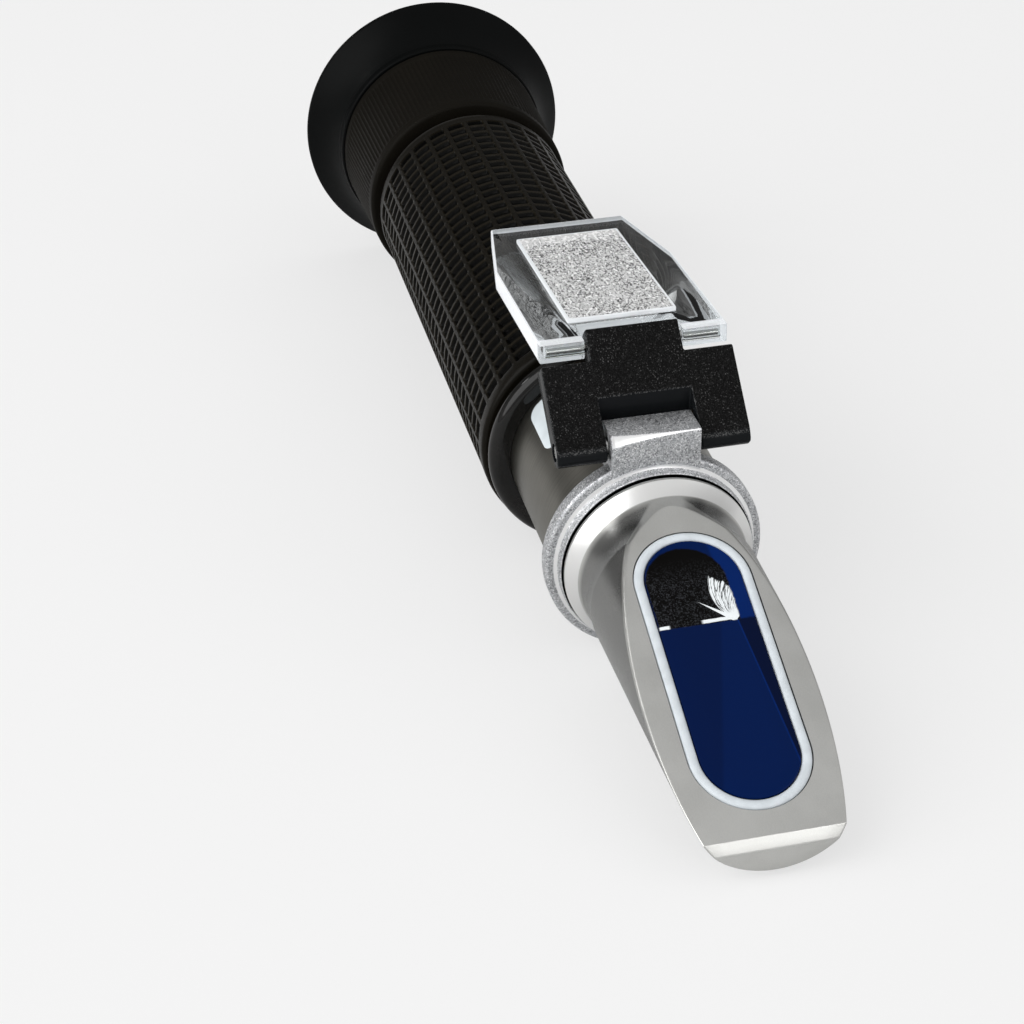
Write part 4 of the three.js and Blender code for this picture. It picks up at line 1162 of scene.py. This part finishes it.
class REFRACTOMETER_OT_head(bpy.types.Operator):
    """The tapered head with its slanted face"""
    bl_idname = "refractometer.head"
    bl_label = "Slanted head"

    def radius_at(self, h, x):
        """The body's radius at x: a slight cone, hollowed by half a sine wave behind the flange's chamfer."""
        start = h.flange_start + h.flange_edge + h.flange_run
        share = np.clip((x - start) / h.cove_length, 0, 1)
        return h.radius - h.taper * x / h.reach - h.cove_depth * np.sin(math.pi * share)

    def tip_slope(self, h):
        """The slope of the chamfer at the tip, half way between the slanted face and upright."""
        return math.tan(math.pi / 4 + h.face_angle / 2)

    def top_at(self, h, x):
        """The height of the cut at x: the slanted face, then the chamfer at the tip."""
        slope = math.tan(h.face_angle)
        tip = (h.face_crossing - h.reach) * slope - h.tip_chamfer
        return np.minimum((h.face_crossing - x) * slope, tip + (h.reach - x) * self.tip_slope(h))

    def execute(self, context):
        h = sizes("head")
        back = h.flange_start - h.spigot
        along, radius, top = self.rear(h, back)
        more = self.stations(h)
        turn = np.linspace(0, math.pi / 2, 5)[1:]
        ends = h.reach - TIP_EDGE * (1 - np.sin(turn))
        drop = TIP_EDGE * (1 - np.cos(turn))
        along = np.concatenate([along, more, ends, [h.reach]])
        radius = np.concatenate([radius, self.radius_at(h, more), self.radius_at(h, ends) - drop, [0.0]])
        top = np.concatenate([top, self.top_at(h, more), self.top_at(h, ends) - drop, [0.0]])
        grid = self.sections(h, along, radius, top)
        grid[-1, :, 1:] = grid[-2, :, 1:].mean(0)
        head = settle(new_object(make_mesh("slanted_head", grid)), HEAD_CREASE)
        recess = plank("recess", prism_outline(h, h.seal_width + h.gap), h.seal_proud - h.seal_depth - h.gap, BEYOND,
                       on_face)
        bore_end = h.face_crossing - h.prism_length / 2 + h.prism_half
        bore = rod("bore", back - BEYOND, bore_end, h.light_bore, sides=64)
        for cut in (recess, self.pocket(h), bore):
            shaped(head, "DIFFERENCE", cut)
        settle(head, HEAD_CREASE)
        finished(head, "barrel", "head_metal", "head satin", "prism_housing")
        return {"FINISHED"}

    def rear(self, h, back):
        """The spigot with its groove, and the flange: places, radii, and no cut."""
        groove = h.flange_start - (h.spigot - h.groove_width) / 2
        edge_end = h.flange_start + h.flange_edge
        chamfer_end = edge_end + h.flange_run
        turned = outline([
            (back, 0, 0), (back, h.spigot_radius, 0.3), (groove - h.groove_width, h.spigot_radius, 0),
            (groove - h.groove_width, h.spigot_radius - h.groove, 0), (groove, h.spigot_radius - h.groove, 0),
            (groove, h.spigot_radius, 0), (h.flange_start, h.spigot_radius, 0), (h.flange_start, h.flange, 0.08),
            (edge_end, h.flange, 0.15), (chamfer_end, float(self.radius_at(h, chamfer_end)), 0)], False)
        return turned[:, 0], turned[:, 1], np.full(len(turned), NO_CUT)

    def stations(self, h):
        """Places along the slanted face: equal steps of the angle at which the cut meets the round body, and
        closer ones at the tip's chamfer."""
        angle = np.linspace(0, math.radians(132), 150)
        x = np.full(angle.shape, h.face_crossing)
        for _ in range(12):
            x = h.face_crossing - self.radius_at(h, x) * np.cos(angle) / math.tan(h.face_angle)
        chamfer_at = h.reach - h.tip_chamfer / (self.tip_slope(h) - math.tan(h.face_angle))
        chamfer_end = h.flange_start + h.flange_edge + h.flange_run
        between = np.linspace(chamfer_end, x[0], 16)[1:-1]
        close = chamfer_at + np.array([-0.06, -0.02, 0.02, 0.06])
        return np.concatenate([between, x[x < chamfer_at - 0.2], close, [h.reach - 0.5, h.reach - TIP_EDGE]])

    def pocket(self, h):
        """The prism's pocket: its outline carried down from the face, but no deeper than the flat underside."""
        shape = prism_outline(h, h.gap)
        ends = on_face(np.stack([at_level(shape, z) for z in (-h.prism_depth - h.gap, BEYOND)]))
        ends[0, :, 2] = np.maximum(ends[0, :, 2], -h.prism_floor - h.gap)
        return make_mesh("pocket", ends, caps=2)

    def sections(self, h, along, radius, top):
        """Cross sections: the arc below the cut and its chord, with each corner rounded by a quadratic curve."""
        top = np.minimum(top, radius)
        some = np.maximum(radius, 1e-9)
        meet = np.arccos(np.clip(np.where(radius > 0, top / some, 1), -1, 1))
        half = radius * np.sin(meet)
        trim = np.minimum(h.face_edge, 0.45 * half)
        start = (meet + trim / some)[:, None]
        angle = start + (2 * math.pi - 2 * start) * np.linspace(0, 1, 129)
        arc = radius[:, None, None] * np.stack([np.sin(angle), np.cos(angle)], -1)
        left, right = np.stack([-half, top], -1)[:, None], np.stack([half, top], -1)[:, None]
        inward = np.stack([trim, np.zeros_like(trim)], -1)[:, None]
        chord = left + inward + (right - left - 2 * inward) * np.linspace(0, 1, 9)[:, None]
        t = np.array([0.25, 0.5, 0.75])[None, :, None]
        rim = np.concatenate([arc, curve(arc[:, -1:], left, chord[:, :1], t), chord,
                              curve(chord[:, -1:], right, arc[:, :1], t)], 1)
        return np.concatenate([np.repeat(along[:, None, None], rim.shape[1], 1), rim], -1)


class REFRACTOMETER_OT_prism(bpy.types.Operator):
    """The blue glass in the slanted face and the pale seal round it"""
    bl_idname = "refractometer.prism"
    bl_label = "Prism and seal"

    def execute(self, context):
        h = sizes("head")
        edge, proud = 0.18, h.seal_proud
        steps = [(0.0, -h.prism_depth), (0.0, proud - edge), (edge * 0.3, proud - edge * 0.3), (edge, proud),
                 (h.prism_half * 0.5, proud), (h.prism_half, proud)]
        grid = on_face(np.stack([at_level(prism_outline(h, -inset), z) for inset, z in steps]))
        grid[0, :, 2] = np.maximum(grid[0, :, 2], -h.prism_floor)
        piece(make_mesh("blue_prism", grid, caps=1), "barrel", "prism_glass", "blue glass", "measuring_prism")

        # The seal's section: an oval top on a plain foot, carried round the prism. It overlaps both its
        # neighbours a little.
        inner, outer = 0.06, h.seal_width + 0.04
        middle, half = (inner + outer) / 2, (outer - inner) / 2
        section = [(middle - half * math.cos(a), proud - 0.3 + 0.36 * math.sin(a))
                   for a in np.linspace(0, math.pi, 9)]
        section += [(outer, proud - h.seal_depth), (inner, proud - h.seal_depth)]
        grid = [at_level(prism_outline(h, grown), z) for grown, z in section]
        seal = make_mesh("pale_seal", grid, ring=True, place=on_face)
        piece(seal, "barrel", "seal", "sealing compound", "prism_seal", crease=50)
        return {"FINISHED"}


class REFRACTOMETER_OT_arm(bpy.types.Operator):
    """The black arm that joins the collar to the clear plate"""
    bl_idname = "refractometer.arm"
    bl_label = "Arm"

    def execute(self, context):
        c, a = sizes("collar"), sizes("cover")
        arm = new_object(slab("cover_arm_black", self.side(a), a.arm_half, on_arm))
        low, high = -2 * a.arm_thick, 2 * a.arm_thick
        # The notch's end wall slopes towards the boss on the far side.
        lean, start = (a.notch - a.notch_foot) / 2, -a.nose - BEYOND
        wall = [(start, low), (a.notch + lean, low), (a.notch_foot - lean, high), (start, high)]
        cuts = [slab("notch", wall, a.notch_half, on_arm)]
        half = a.arm_half + BEYOND
        for side in (-1, 1):
            waist = rectangle((a.shoulder, a.tongue + BEYOND), (side * a.notch_half, side * half))
            cuts.append(plank("side", waist, low, high, on_arm))
        shaped(arm, "DIFFERENCE", *cuts)
        rounded(arm, a.arm_edge, 3, 28)
        shaped(arm, "DIFFERENCE", rod("hole", -half, half, c.pin + c.pin_room, place=crossways(on_arm)),
               rod("hole", -half, half, a.pin + a.pin_room, place=crossways(on_arm, a.arm_length)))
        finished(arm, "arm", "arm_plastic", "arm plastic", "cover_arm")
        return {"FINISHED"}

    def side(self, a):
        """The arm from the side: an oval nose, a curve under it, a flat underside, and a round tongue."""
        thick, end = a.arm_thick, a.tongue - a.arm_length
        turn = np.linspace(math.pi / 2, math.pi, 10)
        nose = np.stack([a.nose * np.cos(turn), thick * np.sin(turn)], -1)
        under = curve(np.array([-a.nose, -0.4 * thick]), np.array([-0.85 * a.nose, -0.85 * thick]),
                      np.array([-0.15, -thick]), np.linspace(0, 1, 7)[:, None])
        turn = np.linspace(0, math.pi / 4, 6)
        tip = np.stack([a.arm_length + end * np.cos(turn), end * np.sin(turn)], -1)
        return np.concatenate([nose, under, [(a.tongue, -thick)], tip, [(a.arm_length, thick)]])


class REFRACTOMETER_OT_plate(bpy.types.Operator):
    """The clear plate with its raised frosted window and its pin"""
    bl_idname = "refractometer.plate"
    bl_label = "Clear plate"

    def execute(self, context):
        a = sizes("cover")
        inner = a.notch_half + MOVING_ROOM
        shape = outline([
            (-a.knuckle, -a.plate_half, 0.25), (a.plate_straight, -a.plate_half, 0.4),
            (a.plate_length, -a.plate_tip, 0.35), (a.plate_length, a.plate_tip, 0.35),
            (a.plate_straight, a.plate_half, 0.4), (-a.knuckle, a.plate_half, 0.25), (-a.knuckle, inner, 0.25),
            (a.plate_notch, inner, 0.4), (a.plate_notch, -inner, 0.4), (-a.knuckle, -inner, 0.25)], steps=4)
        plate = new_object(plank("clear_plate", shape, -a.plate_face, a.plate_back, on_plate))
        rounded(plate, a.plate_edge, 2, 35)
        top, skin, sunk = -a.plate_face - a.window_high, 0.003, 0.04
        window = new_object(plank("window", self.window(a, 0.0, 0.25), top, 0.0, on_plate))
        block = rounded(window, 0.1, 2, 35).data
        bpy.data.objects.remove(window)
        shaped(plate, "UNION", block)
        reach = a.plate_half - a.pin_inset
        hole = rod("hole", -reach - ROOM, reach + ROOM, a.pin + a.pin_room, place=crossways(on_plate))
        shaped(plate, "DIFFERENCE", hole)
        finished(plate, "plate", "acrylic", "clear acrylic", "daylight_plate")

        frost = plank("frosted_window", self.window(a, a.window_rim, 0.2), top - skin, top + sunk, on_plate)
        piece(frost, "plate", "acrylic", "frosting", "daylight_plate")
        pin = rod("plate_pin", -reach, reach, a.pin, 0.08, place=crossways(on_plate))
        piece(pin, "plate", "steel", "turned steel", "plate_hinge_pin")
        return {"FINISHED"}

    def window(self, a, rim, corner):
        """The window's outline, set in by a rim."""
        half = a.window_half - rim
        corners = rectangle((a.window_from + rim, a.window_to - rim), (-half, half))
        return outline([(*c, corner) for c in corners], steps=3)


class REFRACTOMETER_OT_grip(bpy.types.Operator):
    """The moulded grip with its grid of small recesses"""
    bl_idname = "refractometer.grip"
    bl_label = "Grip"

    def execute(self, context):
        g = sizes("grip")
        phase, long_rib = self.ribs(0.09, 0.19)
        angle = (np.arange(g.columns)[:, None] + phase + 0.5).ravel() * (2 * math.pi / g.columns)
        phase, cross_rib = self.ribs(0.11, 0.23)
        pitch = (g.back - g.front - 2 * g.margin) / g.rows
        along = ((np.arange(g.rows)[:, None] + phase) * pitch).ravel() - g.back + g.margin
        cross_rib = np.tile(cross_rib, g.rows) * g.cross_share
        height = np.maximum(np.tile(long_rib, g.columns)[None, :], cross_rib[:, None])
        height[along < -g.back + g.margin + 0.2 * pitch] = 1.0
        # Rows of constant radius finish the ends: bore, rounded chamfer, plain band.
        t = np.linspace(0, math.pi / 2, 5)
        chamfer = np.stack([-g.back + g.chamfer * (1 - np.cos(t)), g.radius - g.chamfer * (1 - np.sin(t))], -1)
        rear = np.concatenate([[(-g.back, g.bore)], chamfer, [(-g.back + g.margin * 0.7, g.radius)]])
        front = rear[::-1] * np.array([-1, 1]) - np.array([g.back + g.front, 0])
        front = np.concatenate([[(-g.front - g.margin, g.radius)], front])
        plain = [np.repeat(end[:, 1:], len(angle), 1) for end in (rear, front)]
        radius = np.concatenate([plain[0], g.radius - g.depth * (1 - height), plain[1]])
        x = np.concatenate([rear[:, 0], along, front[:, 0]])[:, None]
        mesh = make_mesh("ribbed_grip", around(x, radius, angle), ring=True)
        # The height over the recess floor, read by the material.
        level = np.pad(height, ((len(rear), len(front)), (0, 0)), constant_values=1.0).astype(np.float32)
        mesh.attributes.new("height", "FLOAT", "POINT").data.foreach_set("value", level.ravel())
        piece(mesh, "barrel", "grip", "grip plastic", "grip_sleeve", crease=60)
        return {"FINISHED"}

    def ribs(self, top, foot):
        """Steps across one recess, as shares of the way from one rib's middle to the next, and their heights: 1
        within top of a rib's middle, 0 beyond foot, and smooth between them."""
        half = np.array([0.0, top, (top + foot) / 2, foot, 0.5])
        phase = np.concatenate([half, 1 - half[-2:0:-1]])
        share = np.clip((foot - np.minimum(phase, 1 - phase)) / (foot - top), 0, 1)
        return phase, share * share * (3 - 2 * share)


class REFRACTOMETER_OT_eyepiece(bpy.types.Operator):
    """The serrated focusing ring, the flared eyecup and the eyepiece inside it"""
    bl_idname = "refractometer.eyepiece"
    bl_label = "Eyepiece"

    def execute(self, context):
        e = sizes("eyepiece")
        self.focusing_ring(e)
        self.eyecup(e)
        self.lenses(e)
        return {"FINISHED"}

    def focusing_ring(self, e):
        """A slight cone whose radius drops by a wave round the axis between two plain rims."""
        front, back = -e.front, -e.front - e.reach
        slope = (e.back_radius - e.front_radius) / e.reach
        hole = e.tube_radius + MOVING_ROOM
        outside = outline([
            (front, e.bore, 0.2), (front, e.front_radius, e.edge), (back, e.back_radius, 0.15),
            (back, e.spigot_radius, 0), (back - e.spigot, e.spigot_radius, 0.2), (back - e.spigot, hole, 0.2),
            (back + e.web, hole, 0), (back + e.web, e.bore, 0)])
        # Extra stations on the cone, closer together where the serrations run out.
        fade = 0.35
        start, stop = front - e.front_rim, back + e.back_rim
        extra = np.concatenate([start - np.array([-0.05, 0, fade / 2, fade]), np.linspace(start - 1, stop + 1, 24),
                                stop + np.array([fade, fade / 2, 0, -0.05])])
        cone = np.stack([extra, e.front_radius + slope * (front - extra)], -1)
        at = int(np.flatnonzero(outside[:, 0] <= start)[0])
        profile = np.concatenate([outside[:at], cone, outside[at:]])
        sunk = np.zeros(len(profile))
        inside = np.clip(np.minimum(start - extra, extra - stop) / fade, 0, 1)
        sunk[at:at + len(extra)] = inside * e.serration_depth
        wave = np.tile([0.0, 0.55, 1.0, 0.55], e.serrations)
        grid = around(profile[:, :1], profile[:, 1:] - sunk[:, None] * wave, round_steps(len(wave)))
        ring = make_mesh("focusing_ring", grid, ring=True)
        piece(ring, "focus_knob", "focus_black", "focus plastic", "focus_ring", crease=40)

    def eyecup(self, e):
        """The bell: outside and inside follow a cone hollowed by half a sine wave, closed by a rolled lip."""
        front = -e.front - e.reach - e.cup_gap
        back = front - e.cup_depth
        foot_end, lip = front - e.cup_foot_length, back + e.cup_lip
        floor = front - e.spigot - ROOM - e.cup_floor
        share = np.linspace(0, 1, 25)
        sag = e.cup_sag * np.sin(math.pi * share)
        outside = np.stack([foot_end + (lip - foot_end) * share,
                            e.cup_foot + (e.cup_radius - e.cup_foot) * share - sag], -1)
        half = e.cup_lip / 2
        turn = np.linspace(0, math.pi, 13)[1:-1]
        bulge = half * 1.2
        roll = np.stack([back + bulge * (1 - np.sin(turn)), e.cup_radius - half + half * np.cos(turn)], -1)
        mouth, foot = e.cup_radius - e.cup_lip, e.cup_foot - e.cup_wall
        inside = np.stack([back + bulge + (floor - back - bulge) * share, mouth + (foot - mouth) * share - sag], -1)
        seat, under = e.spigot_radius + ROOM, floor + e.cup_floor
        rest = outline([(floor, foot, 0.5), (floor, e.cup_opening, 0.2), (under, e.cup_opening, 0.2),
                        (under, seat, 0.1), (front, seat, 0), (front, e.cup_foot, 0.3), (foot_end, e.cup_foot, 0.6),
                        (lip, e.cup_radius, 0)], False)
        cup = lathe("eyecup_bell", np.concatenate([outside[1:], roll, inside[:-1], rest[1:-1]]))
        piece(cup, "focus_knob", "cup_rubber", "cup rubber", "eyecup", crease=50)

    def lenses(self, e):
        """The eyepiece tube with its flange, and the eye lens: a flat front and a parabolic back."""
        back = -e.front - e.reach - e.spigot - e.flange - MOVING_ROOM
        lip, step = e.tube_bore - e.lens_bulge, back + e.flange
        tube = outline([
            (-e.tube_front, e.tube_bore, 0), (-e.tube_front, e.tube_radius, 0.15), (step, e.tube_radius, 0),
            (step, e.flange_radius, 0.1), (back, e.flange_radius, 0.3), (back, lip, 0.3), (step, lip, 0),
            (step, e.tube_bore, 0)])
        piece(lathe("eyepiece_sleeve", tube, 96), "eyepiece", "black_anodised", "black anodised", "eyepiece_tube")
        radius, rim = e.tube_bore - ROOM, step + ROOM + e.lens_bulge
        share = np.linspace(0, 1, 13)
        bulged = np.stack([rim - e.lens_bulge * (1 - share ** 2), radius * share], -1)
        flat = [(rim + e.lens_edge, radius), (rim + e.lens_edge, 0.0)]
        lens = lathe("eye_lens_glass", np.concatenate([bulged, flat]), 96, ring=False)
        piece(lens, "eyepiece", "lens_glass", "lens glass", "eye_lens", crease=40)


class REFRACTOMETER_OT_inner_parts(bpy.types.Operator):
    """Finer finishes for the hidden parts that keep their solid shape"""
    bl_idname = "refractometer.inner_parts"
    bl_label = "Inner parts"

    def execute(self, context):
        repaint("lens glass", "field_lens", "reticle_disc", "objective_lens")
        repaint("black anodised", "lens_spacer", "lens_retainer", "reticle_ring", "lens_carriage")
        repaint("seal rubber", "head_seal_ring")
        repaint("turned brass", "focus_bush")
        repaint("rolled strip", "bimetal_strip")
        return {"FINISHED"}


class REFRACTOMETER_OT_stage(bpy.types.Operator):
    """The pale floor, the soft studio light and the camera"""
    bl_idname = "refractometer.stage"
    bl_label = "Floor, light and camera"

    def execute(self, context):
        self.floor()
        self.world()
        for name, place, size, power in LAMPS:
            data = bpy.data.lights.new(name, "AREA")
            data.shape, data.size, data.energy = "DISK", size, power
            aim = -np.array(place) / np.linalg.norm(place)
            self.add(data, place, (math.acos(-aim[2]), 0.0, math.atan2(-aim[0], aim[1])))
        data = bpy.data.cameras.new("camera")
        data.sensor_width, data.lens, data.clip_start = 36.0, FOCAL_LENGTH, 0.005
        context.scene.camera = self.add(data, CAMERA_PLACE, [math.radians(v) for v in CAMERA_TURN])
        context.scene.view_settings.view_transform = "Standard"
        return {"FINISHED"}

    def add(self, data, place, turn):
        """A lamp or camera at a place in metres, turned about X, Y and Z."""
        thing = bpy.data.objects.new(data.name, data)
        thing.location, thing.rotation_euler = place, turn
        bpy.context.scene.collection.objects.link(thing)
        return thing

    def floor(self):
        """A wide disc at the height on which the object lies. Seen directly it is lifted towards white."""
        angle = round_steps(64)
        rim = 4.0 * np.stack([np.cos(angle), np.sin(angle), np.zeros(64)], -1)
        mesh = bpy.data.meshes.new("floor")
        mesh.from_pydata(rim.tolist(), [], [list(range(64))])
        floor = new_object(mesh)
        tint = tuple(sizes("finish").floor)
        paint = Paint("pale floor")
        cloud = paint.noise(paint.node("ShaderNodeTexCoord", output="Object"), 3.0, 2.0)
        matt = paint.node("ShaderNodeBsdfDiffuse", {}, {
            "Color": paint.mix(cloud.ramp(0.2, 0.8), tuple(0.97 * v for v in tint), tint)})
        glow = paint.node("ShaderNodeEmission", {}, {"Color": (1.0, 1.0, 1.0), "Strength": 1.0})
        seen = sum(paint.node("ShaderNodeLightPath", output=kind) for kind in (
            "Is Camera Ray", "Is Transmission Ray")).math("MINIMUM", 1.0)
        shader = paint.node("ShaderNodeMixShader", {}, {0: seen * FLOOR_LIFT, 1: matt, 2: glow})
        mesh.materials.append(paint.output(shader))

    def world(self):
        """A plain studio tent: palest at the horizon, greyer overhead, and dim behind the eyepiece. Its level is a
        ramp of the direction's height times a ramp of its x."""
        paint = Paint("studio", bpy.data.worlds.new("studio"))
        bpy.context.scene.world = paint.owner
        x, _, z = paint.split(paint.node("ShaderNodeTexCoord", output="Generated"))
        grey = self.level(z, TENT_BY_HEIGHT) * self.level(x, TENT_BY_X)
        paint.output(paint.node("ShaderNodeBackground", {}, {"Color": grey}), "ShaderNodeOutputWorld")

    def level(self, value, stops):
        """A grey ramp of a value from -1 to 1."""
        stops = [(place / 2 + 0.5, (grey,) * 3) for place, grey in stops]
        return value.paint.node("ShaderNodeValToRGB", {"stops": stops}, {0: value * 0.5 + 0.5})


OPERATORS = (
    REFRACTOMETER_OT_tube, REFRACTOMETER_OT_collar, REFRACTOMETER_OT_head, REFRACTOMETER_OT_prism,
    REFRACTOMETER_OT_arm, REFRACTOMETER_OT_plate, REFRACTOMETER_OT_grip, REFRACTOMETER_OT_eyepiece,
    REFRACTOMETER_OT_inner_parts, REFRACTOMETER_OT_stage)


class REFRACTOMETER_PT_panel(bpy.types.Panel):
    """Lists the operators and the sizes"""
    bl_label = "Refractometer"
    bl_idname = "REFRACTOMETER_PT_panel"
    bl_space_type = "VIEW_3D"
    bl_region_type = "UI"
    bl_category = "Refractometer"

    def draw(self, context):
        for operator in OPERATORS:
            self.layout.operator(operator.bl_idname)
        for name, group in GROUPS.items():
            box = self.layout.box()
            box.label(text=name.title())
            for key in group.__annotations__:
                box.prop(getattr(context.scene.refractometer, name), key)


CLASSES = (*GROUPS.values(), Refractometer, *OPERATORS, REFRACTOMETER_PT_panel)


def register():
    for cls in CLASSES:
        bpy.utils.register_class(cls)
    bpy.types.Scene.refractometer = PointerProperty(type=Refractometer)


def unregister():
    del bpy.types.Scene.refractometer
    for cls in reversed(CLASSES):
        bpy.utils.unregister_class(cls)


def main():
    """Registers the add-on, removes the default cube, lamp and camera, and builds every piece."""
    register()
    for extra in [o for o in bpy.data.objects if o.name in ("Cube", "Light", "Camera")]:
        bpy.data.objects.remove(extra)
    for operator in OPERATORS:
        group, name = operator.bl_idname.split(".")
        getattr(getattr(bpy.ops, group), name)()


if __name__ == "__main__":
    main()
